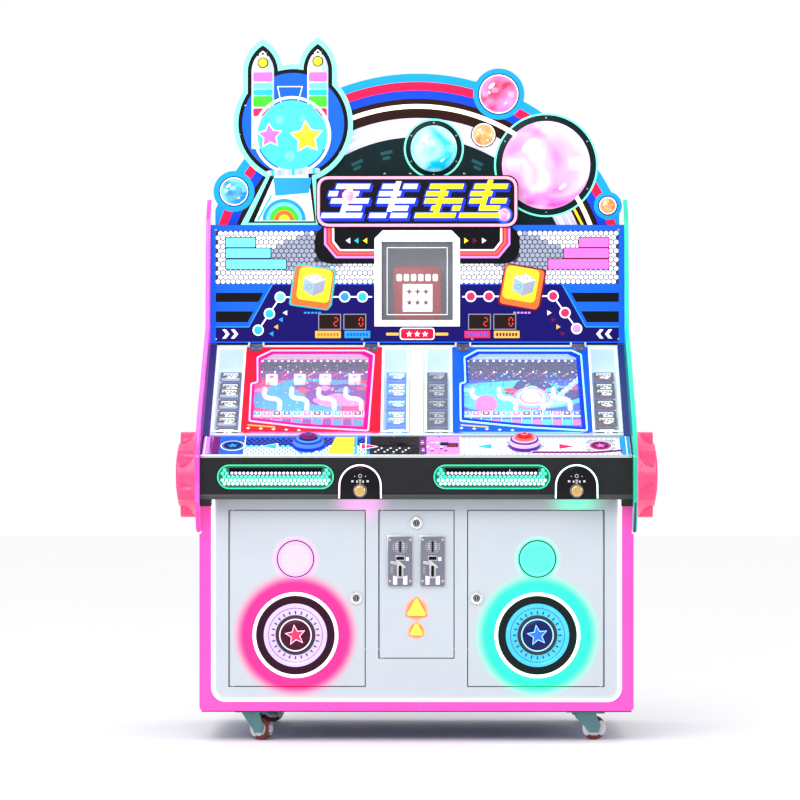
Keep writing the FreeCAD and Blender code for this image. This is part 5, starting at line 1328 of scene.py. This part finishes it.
# Badge and its gold bars under the showcase.
shape_print(piece, bar_points(96, 33, 8), 4, WHITE, BACKBOX, at(0, 1088))
BADGE_RED = printed("badge_red", 205, 12, 55, glow=0.4)
add(piece, slab(bar_points(90, 28, 7), 2.6, 0.6), BADGE_RED, BACKBOX, at(0, 1088))
for dx in (-22, 0, 22):
    shape_print(piece, star_points(9, 3.8, 5, 90), 8, WHITE, BACKBOX, at(dx, 1087))
for sign in (-1, 1):
    add(piece, slab(bar_points(36, 8, 3), 2.4, 0.7), GOLD, BACKBOX, at(sign * 68, 1087))

# The black surround of the title, with its striped band.
surround = rounded([(-283, 1388), (-283, 1281), (283, 1281), (283, 1388)], 58, 12)
left_part = [(x, z) for x, z in surround if x < 0] + [(-WINDOW_HALF, 1281), (-WINDOW_HALF, 1388)]
right_part = [(x, z) for x, z in surround if x > 0] + [(WINDOW_HALF, 1388), (WINDOW_HALF, 1281)]
over = box_points(-WINDOW_HALF, WINDOW_HALF, WINDOW_HIGH, 1388)
for points in (left_part, right_part, over):
    shape_print(piece, points, 4.4, INK_BLACK, BACKBOX)
BAND = ((LILAC, 26), (ROSE, 20.5), (ORANGE, 15), (ROSE, 9.5), (WHITE, 4))
for colour, inward in BAND:
    for sign in (-1, 1):
        run = 30 - inward
        route = [(258 - run, 1384), (258 - run, 1334 + run * 0.35), (226 - run * 0.5, 1296 + run * 0.85),
                 (118, 1296 + run * 0.85)]
        stroke(piece, [(sign * x, z) for x, z in route], 6, 5.4 + 0.02 * inward, colour, BACKBOX)
for x, colour in ((-190, WHITE), (-167, TEAL), (-143, YELLOW), (135, YELLOW), (159, MAROON), (184, WHITE)):
    face = -1 if x < 0 else 1
    points = [(face * 7, 0), (-face * 5, face * 8), (-face * 5, -face * 8)]
    shape_print(piece, points, 5.6, colour, BACKBOX, at(x, 1345))
close_piece(piece, "backbox_print", "root")

# %% Score displays
SEGMENT = [(-4, 0), (-2.6, -1.4), (2.6, -1.4), (4, 0), (2.6, 1.4), (-2.6, 1.4)]
DIGIT_RED = lit("digit_red", ink(215, 30, 20), 0.8)
DIGIT_DARK = finish("digit_window", (0.012, 0.002, 0.002), 0.2, shine=0.2)
DISPLAY_RIM = finish("display_rim", (0.30, 0.30, 0.38), 0.35, metal=0.4)
SEGMENTS = {"0": "abcdef", "2": "abged"}
SEGMENT_AT = {"a": (0, 11, 0), "b": (5, 5.5, 90), "c": (5, -5.5, 90), "d": (0, -11, 0), "e": (-5, -5.5, 90),
              "f": (-5, 5.5, 90), "g": (0, 0, 0)}
piece = open_piece()
for x, digit in ((-241.5, "2"), (-172, "0"), (172, "2"), (241.5, "0")):
    spot = (BACKBOX, at(x, 1121, 4))
    add(piece, holed(bar_points(63, 44, 2), bar_points(58, 39, 1), 1.4), DISPLAY_RIM, *spot)
    add(piece, slab(bar_points(58.5, 39.5, 1), 0.5), DIGIT_DARK, *spot)
    for letter, (dx, dy, turn) in SEGMENT_AT.items():
        if letter in SEGMENTS[digit]:
            add(piece, slab(SEGMENT, 0.9, 0.2, 1), DIGIT_RED, *spot, at(17 + dx, dy, 0, turn))
for x, colour, mark in ((-246, GOLD, ORANGE), (-165, SKY, ROYAL), (166, ROSE, ROYAL), (247, GOLD, MAROON)):
    spot = (BACKBOX, at(x, 1086, 4))
    add(piece, slab(bar_points(71, 20, 2), 0.8, 0.3), colour, *spot)
    for k in range(7):
        shape_print(piece, bar_points(5.5, 9, 1.5), 3.2, mark, *spot, at(-26 + 8.7 * k, 0))
close_piece(piece, "score_faces", "root")

# %% Showcase and its prize
GLASS = finish("showcase_pane", (0.9, 0.95, 1.0), 0.03, amount=0.0, bump=0.0, alpha=0.06)
dress("showcase_glass", GLASS, 0.2)
SHOW_WHITE = finish("showcase_white", (0.86, 0.87, 0.92), 0.35, amount=0.03,
                    glow=(0.8, 0.82, 0.95), strength=0.25)
SHOW_GREY = finish("showcase_inside", (0.25, 0.27, 0.34), 0.4, amount=0.1)
dress("showcase_frame", SHOW_WHITE, 1.5)
repaint("showcase_frame", SHOW_GREY, lambda c: abs(c.x) < 98.5 and c.y > 105 and 1125.5 < c.z < 1342)
# The prize carton's glow is painted light.
PRIZE_RED = finish("prize_red", ink(140, 10, 10), 0.4, amount=0.12, glow=ink(140, 8, 8), strength=0.2)
dress("prize_packs", CARTON)
repaint("prize_packs", PRIZE_RED, lambda c: c.z > 1100)
piece = open_piece()
box_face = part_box("showcase_frame")[0].y + 0.041
prize = upright(box_face)
add(piece, holed(box_points(-84, 84, 1140, 1327), box_points(-82, 82, 1142, 1325), 0.8), WHITE, BACKBOX,
    at(0, 0, -8))
add(piece, slab(box_points(-66, 66, 1128, 1270), 2, 0.8), PRIZE_RED, prize)
shape_print(piece, box_points(-40, 42, 1150, 1226), 8, WHITE, prize)
for k in range(6):
    add(piece, slab(bar_points(15, 20, 4), 3.2, 0.6), SHOW_WHITE, prize, at(-50 + 20 * k, 1244))
for row in range(2):
    for k in range(3):
        shape_print(piece, star_points(10, 4, 4 + row, 90), 9, MAROON, prize,
                    at(-22 + 23 * k, 1205 - 30 * row))
close_piece(piece, "prize_face", "root")
print("backbox done")

# %% [markdown]
# ## The arch, its lamps and the title
# The arch carries concentric bands round a dark disc. Each lamp is a cloudy glass-like dome, made
# paler towards its rim by a painted sheen, inside a dark ring. The title plate is a neon-edged board
# with slanted speed stripes, and a plate with two rockets and a porthole stands at the left.

# %% Arch bands
ARCH_BLUE = printed("arch_blue", 20, 150, 240, glow=0.35)
ARCH_RED = printed("arch_red", 250, 20, 70, glow=0.3)
ARCH_DEEP = printed("arch_deep_blue", 10, 66, 212, glow=0.3)
ARCH_BROWN = printed("arch_brown", 38, 10, 5, glow=0.1)
ARCH_LAVENDER = printed("arch_lavender", 200, 195, 225, glow=0.3)
ARCH_DARK = printed("arch_dark", 2, 30, 34, glow=0.1)
FAINT = printed("faint_mark", 30, 80, 84, glow=0.25)
CREAM = lit("cream_led", ink(255, 235, 212), 1.0)
MINT = printed("mint_print", 120, 250, 215, glow=0.6)
ARCH_LOW, ARCH_SIDE, ARCH_MIDDLE = 1390, 558, 1206
LINE_RADII, MARK_RADIUS = (466, 448, 441), 394


def arch_band(outer, inner, steps=64):
    """The part of a ring round the arch's centre that lies over the backbox."""
    loops = []
    for radius in (outer, inner):
        start = math.asin((ARCH_LOW - ARCH_MIDDLE) / radius)
        if radius > ARCH_SIDE:
            start = max(start, math.acos(ARCH_SIDE / radius))
        sweep = math.pi - 2 * start
        loops.append([(radius * math.cos(start + sweep * i / steps),
                       ARCH_MIDDLE + radius * math.sin(start + sweep * i / steps))
                      for i in range(steps + 1)])
    return loops[0] + loops[1][::-1]


ARCH_LAMPS = {"crimson": (226, 1753, 52, 71), "cyan": (46, 1602, 66, 0), "orange": (184, 1640, 30, 0),
              "pink": (357, 1556, 124, 144), "small_orange": (528, 1443.5, 22, 39),
              "blue": (-508, 1483.5, 37, 57)}
dress("arch_plate", ARCH_BLUE)
piece = open_piece()
for layer, (outer, inner, colour) in enumerate((
        (581, 557.5, ARCH_RED), (557.5, 534, ARCH_DEEP), (534, 481, ARCH_BROWN),
        (481, 428, ARCH_LAVENDER), (428, 186, ARCH_DARK))):
    shape_print(piece, arch_band(outer, inner), 1 + 0.1 * layer, colour, ARCH)
add(piece, slab(arch_band(519.5, 507), 3.0, 0.9), CREAM, ARCH)
for radius in LINE_RADII:
    shape_print(piece, arch_band(radius, radius - 3), 2.2, WHITE, ARCH)
gold_band = arch_band(497, 490, 12)
shape_print(piece, gold_band[:3] + gold_band[-3:], 2.4, YELLOW, ARCH)
for k in range(9):
    a = math.radians(40 + 12.5 * k)
    for step in (0, 1):
        shape_print(piece, bar_points(34 - 12 * step, 9, 2), 2.4, FAINT, ARCH, at(0, ARCH_MIDDLE),
                    at(MARK_RADIUS * math.cos(a), MARK_RADIUS * math.sin(a) - 15 * step, 0,
                       math.degrees(a) - 90))
for x, z, radius, bump in ARCH_LAMPS.values():
    if bump:
        shape_print(piece, disc_points(bump - 0.4, 64), 3, ARCH_BLUE, ARCH, at(x, z))
for x, z, radius, rim in ((46, 1602, 66, 83), (357, 1556, 124, 144)):
    add(piece, slab(disc_points(rim, 80), 1.5, 0.4), MINT, ARCH, at(x, z))
    add(piece, slab(disc_points(rim - 5, 80), 2.2, 0.4), ARCH_DARK, ARCH, at(x, z))
    for k in range(6):
        a = math.radians(30 + 60 * k)
        reach = (radius + rim - 5) / 2
        screw(piece, ARCH, at(x + reach * math.cos(a), z + reach * math.sin(a)), radius=2.4, height=2.2)
for key in ("crimson", "orange", "small_orange", "blue"):
    x, z, radius, bump = ARCH_LAMPS[key]
    add(piece, slab(disc_points(radius + 5, 64), 2.0, 0.4), INK_BLACK, ARCH, at(x, z))
    add(piece, ring(radius + 2.2, radius - 1, 2.8, 0.6), WHITE, ARCH, at(x, z))
for x in (-90, -20, 130):
    screw(piece, ARCH, at(x, 1532), radius=3, height=1)
close_piece(piece, "arch_print", "root")


# %% Cloudy lamp domes
def cloudy(name, deep, pale, scale, soft=0.5, power=0.55):
    """A lit dome: a deep colour and a pale one in drifting clouds, with a painted sheen that makes it palest
    towards the rim.
    """
    material, tree, shader = new_finish(name)
    noise = tree.nodes.new("ShaderNodeTexNoise")
    noise.inputs["Scale"].default_value = scale
    noise.inputs["Detail"].default_value = 2.5
    noise.inputs["Distortion"].default_value = 0.8
    tree.links.new(object_coordinates(tree), noise.inputs["Vector"])
    # Painted sheen: the Facing output pales the colour where the surface turns away from the camera.
    rim = tree.nodes.new("ShaderNodeLayerWeight")
    rim.inputs["Blend"].default_value = soft
    edge = math_node(tree, "MULTIPLY", rim.outputs["Facing"], 1.3)
    cloud = math_node(tree, "MULTIPLY", math_node(tree, "SUBTRACT", noise.outputs["Fac"], 0.42), 3.2)
    mask = math_node(tree, "ADD", edge, cloud, True)
    colour = blend_colour(tree, mask, deep, pale)
    tree.links.new(colour, shader.inputs["Base Color"])
    tree.links.new(colour, shader.inputs["Emission Color"])
    shader.inputs["Emission Strength"].default_value = power
    shader.inputs["Roughness"].default_value = 0.12
    shader.inputs["Coat Weight"].default_value = 0.7
    return material


DOMES = {
    "crimson": cloudy("crimson_dome", ink(240, 15, 70), ink(255, 130, 195), 16, 0.3),
    "cyan": cloudy("cyan_dome", ink(10, 185, 225), ink(185, 250, 245), 13, 0.35),
    "orange": cloudy("orange_dome", ink(235, 90, 25), ink(250, 180, 110), 24, 0.35),
    "pink": cloudy("pink_dome_lamp", ink(250, 70, 190), ink(255, 215, 250), 7, 0.55),
    "small_orange": cloudy("small_orange_dome", ink(240, 110, 50), ink(252, 190, 130), 30, 0.35),
    "blue": cloudy("blue_dome", ink(10, 115, 235), ink(110, 205, 250), 20, 0.3),
    "lilac": cloudy("lilac_dome", ink(225, 120, 225), ink(250, 205, 250), 26, 0.4),
}
dress("ball_lamps", DOMES["lilac"], 0.2)
for key, (x, z, radius, bump) in ARCH_LAMPS.items():
    repaint("ball_lamps", DOMES[key],
            lambda c, x=x, z=z, radius=radius: math.hypot(c.x - x, c.z - z) < radius + 1)
# The glints are painted highlights: small white lit spots on the domes, made with the lens finish.
GLINT = lit("dome_glint", ink(255, 255, 255), 0.9)
# Each glint's place and size, as shares of its dome's radius.
GLINTS = ((-0.38, 0.42, 0.20, 0.10), (-0.52, 0.06, 0.07, 0.07), (0.36, -0.5, 0.10, 0.04))
BALL, SUNK = 1.25, 0.6
piece = open_piece()
for x, z, radius, _ in ARCH_LAMPS.values():
    ball = radius * BALL
    for dx, dy, wide, tall in GLINTS:
        x1, z1 = dx * radius, dy * radius
        rise = math.sqrt(ball ** 2 - x1 ** 2 - z1 ** 2) - ball * SUNK
        normal = Vector((x1, z1, rise + ball * SUNK)).to_track_quat("Z", "Y").to_matrix().to_4x4()
        spot = Matrix.Translation((x1, z1, rise)) @ normal
        glint = slab([(wide * radius * a, tall * radius * b) for a, b in disc_points(1, 20)], 0.25)
        add(piece, glint, GLINT, ARCH, at(x, z), spot)
close_piece(piece, "dome_glints", "root")

# %% Title plate
NEON_TITLE = lit("title_neon", ink(250, 150, 175), 0.95)
STRIPE_ICE = printed("stripe_ice", 228, 238, 255, glow=0.5)
STRIPE_SHADOW = printed("stripe_shadow", 30, 50, 200, glow=0.4)
STRIPE_SUN = printed("stripe_sun", 250, 240, 30, glow=0.5)
piece = open_piece()
frame_route = rounded(box_points(-272, 272, 1387, 1518), 30, 8)
add(piece, tube([(x, z, 2) for x, z in frame_route], 4, closed=True), NEON_TITLE, TITLE)
LEAN, TITLE_MIDDLE = 0.32, 1452


def leaning(x, z, wide, tall):
    """A bar whose ends lean like italic type."""
    return [(x - wide / 2 - LEAN * tall / 2, z - tall / 2), (x + wide / 2 - LEAN * tall / 2, z - tall / 2),
            (x + wide / 2 + LEAN * tall / 2, z + tall / 2), (x - wide / 2 + LEAN * tall / 2, z + tall / 2)]


STRIPES = []
for block, (start, colour) in enumerate(((-196, STRIPE_ICE), (-68, STRIPE_ICE), (62, STRIPE_SUN),
                                         (184, STRIPE_SUN))):
    for row, (shift, wide) in enumerate(((6, 92), (-14, 60), (10, 104), (22, 54), (0, 112))):
        if (block + row) % 4 == 1:
            STRIPES.append((start + shift - 28, 1494 - 20 * row, wide * 0.42, colour))
            STRIPES.append((start + shift + 30, 1494 - 20 * row, wide * 0.42, colour))
        else:
            STRIPES.append((start + shift, 1494 - 20 * row, wide, colour))
for x, z, wide, colour in STRIPES:
    shift = LEAN * (z - TITLE_MIDDLE)
    for dx, dz, grow, height, paint in ((0, 0, 9, 3, STRIPE_SHADOW), (4, -6, 8, 2.4, STRIPE_SHADOW),
                                        (0, 0, 0, 6, colour)):
        bar = leaning(x + shift + dx, z + dz, wide + grow, 14 + grow * 0.7)
        add(piece, slab(bar, height, 0.8), paint, TITLE)
for x, z in ((-196, 1450), (62, 1452), (-68, 1466), (184, 1470)):
    post = leaning(x + LEAN * (z - TITLE_MIDDLE), z, 15, 84)
    add(piece, slab(post, 7, 1), STRIPE_ICE if x < 0 else STRIPE_SUN, TITLE)
for x, z, radius in ((-187.5, 1468, 21), (239, 1416, 19.5)):
    add(piece, ring(radius + 4, radius - 1, 4.2, 0.8), MAROON if x < 0 else ROYAL, TITLE, at(x, z))
close_piece(piece, "title_art", "root")

# %% Rocket plate
ROCKET_MINT = printed("rocket_edge", 130, 245, 220, glow=0.6)
ROCKET_WHITE = printed("rocket_white", 236, 240, 246, glow=0.35)
ROCKET_SHADE = printed("rocket_shade", 170, 190, 205, glow=0.3)
PLANET = printed("planet_cyan", 70, 200, 245, glow=0.45)
dress("rocket_plate", ROCKET_MINT)
TOWERS = ((-427, 1904, 55), (-275, 1908, 53))
DISC_AT, DISC_RADIUS, PLANET_AT = (-343, 1669), 165, (-346, 1638)
NOSE = 92


def tower_points(x, top, half, inset, low):
    """A rocket's outline: straight sides and a nose between two arcs."""
    wide, tip = half - inset, top - inset * 1.35
    shoulder = top - NOSE
    tall = tip - shoulder
    radius = (wide ** 2 + tall ** 2) / (2 * wide)
    sweep = math.asin(tall / radius)
    centre = x - radius + wide
    right = [(centre + radius * math.cos(sweep * k / 14), shoulder + radius * math.sin(sweep * k / 14))
             for k in range(14)]
    left = [(2 * x - a, b) for a, b in right[::-1]]
    return [(x - wide, low), (x + wide, low)] + right[1:] + [(x, tip)] + left[:-1]


piece = open_piece()
for inset, layer, colour in ((13, 1.5, INK_BLACK), (24, 3, None)):
    for k, (x, top, half) in enumerate(TOWERS):
        shape_print(piece, tower_points(x, top, half, inset, 1660), layer + 0.02 * k,
                    colour or ROCKET_WHITE, ROCKET)
    shape_print(piece, disc_points(DISC_RADIUS - inset, 80), layer + 0.1, colour or ROYAL, ROCKET,
                at(*DISC_AT))
    foot = [(-489 + inset * 1.6, 1390 + inset * 0.4), (-275 - inset * 0.4, 1390 + inset * 0.4),
            (-281 - inset, 1556), (-405 + inset, 1556)]
    shape_print(piece, foot, layer + 0.2, colour or ROCKET_WHITE, ROCKET)
for k, (x, top, half) in enumerate(TOWERS):
    body = tower_points(x, top, half, 24, 1600)
    shape_print(piece, body, 4 + 0.05 * k, ROCKET_WHITE, ROCKET)
    shade = [(a if a > x + 8 else x + 12 + (a - x) * 0.02, b) for a, b in body]
    shape_print(piece, shade, 4.5, ROCKET_SHADE, ROCKET)
    shape_print(piece, disc_points(15), 5.6, INK_BLACK, ROCKET, at(x, top - 66))
    window = turned([(0, 5.0), (8, 4.4), (12, 3), (12, 1.5), (0, 1.5)], 32)
    add(piece, window, YELLOW, ROCKET, at(x, top - 66))
    for j in (-1, 0, 1):
        shape_print(piece, disc_points(3.4, 12), 5.6, INK_BLACK, ROCKET,
                    at(x + 13 * j, top - 44 + 3 * (1 - abs(j))))
    for band, (low_edge, tall, colour) in enumerate(((1786, 26, PINK_INK), (1766, 16, CYAN), (1748, 16, TEAL),
                                                    (1716, 30, GREEN), (1690, 22, ROSE))):
        wide = 2 * (half - 24) * 0.86
        shape_print(piece, bar_points(wide, tall, 5), 6 + 0.1 * band, colour, ROCKET,
                    at(x, low_edge + tall / 2))
stroke(piece, [(-386, 1772), (-318, 1772), (-336, 1705), (-372, 1705), (-386, 1772)], 2.5, 6.6, WHITE, ROCKET)
shape_print(piece, [(-383, 1770), (-321, 1770), (-338, 1706), (-370, 1706)], 6, ROYAL, ROCKET)
# A ringed planet with two stars fills the porthole.
add(piece, turned([(0, 5), (60, 4.2), (84, 3.2), (96, 2.4), (96, 1.5), (0, 1.5)], 64), PLANET, ROCKET,
    at(*PLANET_AT))
add(piece, ring(108, 100, 3.6, 1.0), ROCKET_WHITE, ROCKET, at(*PLANET_AT))
for dx, dy, radius in ((-34, 42, 12), (28, 46, 9), (-6, -58, 14), (52, -34, 8)):
    shape_print(piece, disc_points(radius, 24), 14.4, CYAN, ROCKET, at(PLANET_AT[0] + dx, PLANET_AT[1] + dy))
for x, z, radius, colour in ((-408, 1636, 32, PINK_INK), (-306, 1632, 44, YELLOW)):
    add(piece, slab(star_points(radius + 5, radius * 0.5 + 4, 5, 94), 5.6, 0.6), WHITE, ROCKET, at(x, z))
    add(piece, slab(star_points(radius, radius * 0.5, 5, 94), 6.4, 0.8), colour, ROCKET, at(x, z))
add(piece, slab(bar_points(150, 15, 7), 6, 1.6), ROCKET_SHADE, ROCKET, at(-343, 1536, 0, 3))
for k in range(7):
    add(piece, slab(bar_points(7, 18, 2), 7, 0.8), (TEAL, GREY, ROCKET_WHITE)[k % 3], ROCKET,
        at(-400 + 19 * k, 1533 + k, 0, 3))
shape_print(piece, [(-392, 1470), (-300, 1478), (-292, 1520), (-398, 1520)], 5.4, SKY, ROCKET)
for k, (radius, colour) in enumerate(((60, SKY), (50, CYAN), (40, GREEN), (28, ORANGE), (16, YELLOW))):
    turns = [math.radians(a) for a in range(0, 181, 10)]
    arc = [(radius * math.cos(a), radius * math.sin(a)) for a in turns]
    shape_print(piece, arc, 5.6 + 0.2 * k, colour, ROCKET, at(-368, 1402))
stroke(piece, [(-440, 1404), (-404, 1470)], 5, 5.2, TEAL, ROCKET)
for x, z in ((-483, 1720), (-478, 1850), (-222, 1850), (-190, 1720), (-205, 1590), (-500, 1640)):
    inward = 8 if x < DISC_AT[0] else -8
    screw(piece, ROCKET, at(x + inward, z), radius=2.6, height=0.6)
close_piece(piece, "rocket_art", "root")
print("arch, lamps, title and rockets done")

# %% [markdown]
# ## Wings, shells, casters and the back
# The wings are lit acrylic: pink on the left, turquoise on the right, each with a tube of light
# along its front edge. The casters have pale hubs. The back and its door have rows of louvres.

# %% Wings and their tubes of light
# The wings share the domes' painted sheen, paler where they turn away from the camera.
WING = {-1: cloudy("wing_pink", ink(232, 40, 170), ink(240, 90, 205), 5, 0.4, 0.25),
        1: cloudy("wing_turquoise", ink(0, 165, 140), ink(20, 215, 180), 5, 0.4, 0.25)}
WING_TUBE = {-1: lit("tube_pink", ink(245, 95, 200), 0.6), 1: lit("tube_turquoise", ink(0, 205, 165), 0.6)}
WING_FOOT = {-1: finish("wing_foot_pink", ink(225, 40, 150), 0.3, coat=0.5,
                        glow=ink(225, 40, 150), strength=0.2),
             1: finish("wing_foot_navy", ink(10, 40, 90), 0.3, coat=0.5,
                       glow=ink(10, 60, 110), strength=0.2)}
dress("side_wings", WING[-1], 1.2)
repaint("side_wings", WING[1], lambda c: c.x > 0)
WING_MIDDLE = 576
EDGE_ROUTE = [(90, 1402), (64, 1104), (-314, 859), (-395, 757), (-395, 637)]
FOOT_ROUTE = [(-395, 637), (-395, 633), (-346, 558)]
piece = open_piece()
for side, sign in SIDES:
    for route, colour in ((EDGE_ROUTE, WING_TUBE[sign]), (FOOT_ROUTE, WING_FOOT[sign])):
        strip = [(sign * WING_MIDDLE, y, z) for y, z in route]
        add(piece, tube(strip, 4.4, sides=12), colour, ROW)
close_piece(piece, "wing_tubes", "root")

# %% Caster hubs
HUB_RADIUS = 21.5
HUB = finish("caster_hub", (0.55, 0.55, 0.57), 0.35, metal=0.5, amount=0.15)
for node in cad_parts:
    if node.startswith("caster_wheel"):
        low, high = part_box(node)
        middle = (Vector(low) + Vector(high)) / 2 / MM
        repaint(node, HUB,
                lambda c, middle=middle: math.hypot(c.y - middle.y, c.z - middle.z) < HUB_RADIUS)
        print(node, "hub within", HUB_RADIUS, "mm of", middle)


# %% Louvres on the back
def louvred(name, colour, low, high, half, pitch):
    """A painted panel with rows of louvres inside a window, their slots painted near black as painted shade.
    """
    material, tree, shader = new_finish(name)
    spot = tree.nodes.new("ShaderNodeSeparateXYZ")
    tree.links.new(object_coordinates(tree), spot.inputs[0])
    inside = math_node(tree, "LESS_THAN", math_node(tree, "ABSOLUTE", spot.outputs["X"], 0), half)
    tall = math_node(tree, "ABSOLUTE", math_node(tree, "SUBTRACT", spot.outputs["Z"], (low + high) / 2), 0)
    inside = math_node(tree, "MULTIPLY", inside, math_node(tree, "LESS_THAN", tall, (high - low) / 2))
    wave = math_node(tree, "SINE", math_node(tree, "MULTIPLY", spot.outputs["Z"], 2 * math.pi / pitch), 0)
    # The louvre slots are painted near black as painted shade.
    shaded_slots = math_node(tree, "MULTIPLY", inside, math_node(tree, "GREATER_THAN", wave, 0.2))
    tree.links.new(blend_colour(tree, shaded_slots, colour, (0.004, 0.004, 0.008)), shader.inputs["Base Color"])
    shader.inputs["Roughness"].default_value = 0.45
    return material


dress("rear_door", louvred("rear_door_paint", (0.03, 0.05, 0.28), 0.62, 0.74, 0.18, 0.016))
dress("backbox_shell", louvred("backbox_paint", (0.02, 0.035, 0.24), 1.24, 1.33, 0.30, 0.018))
print("wings, casters and back done")
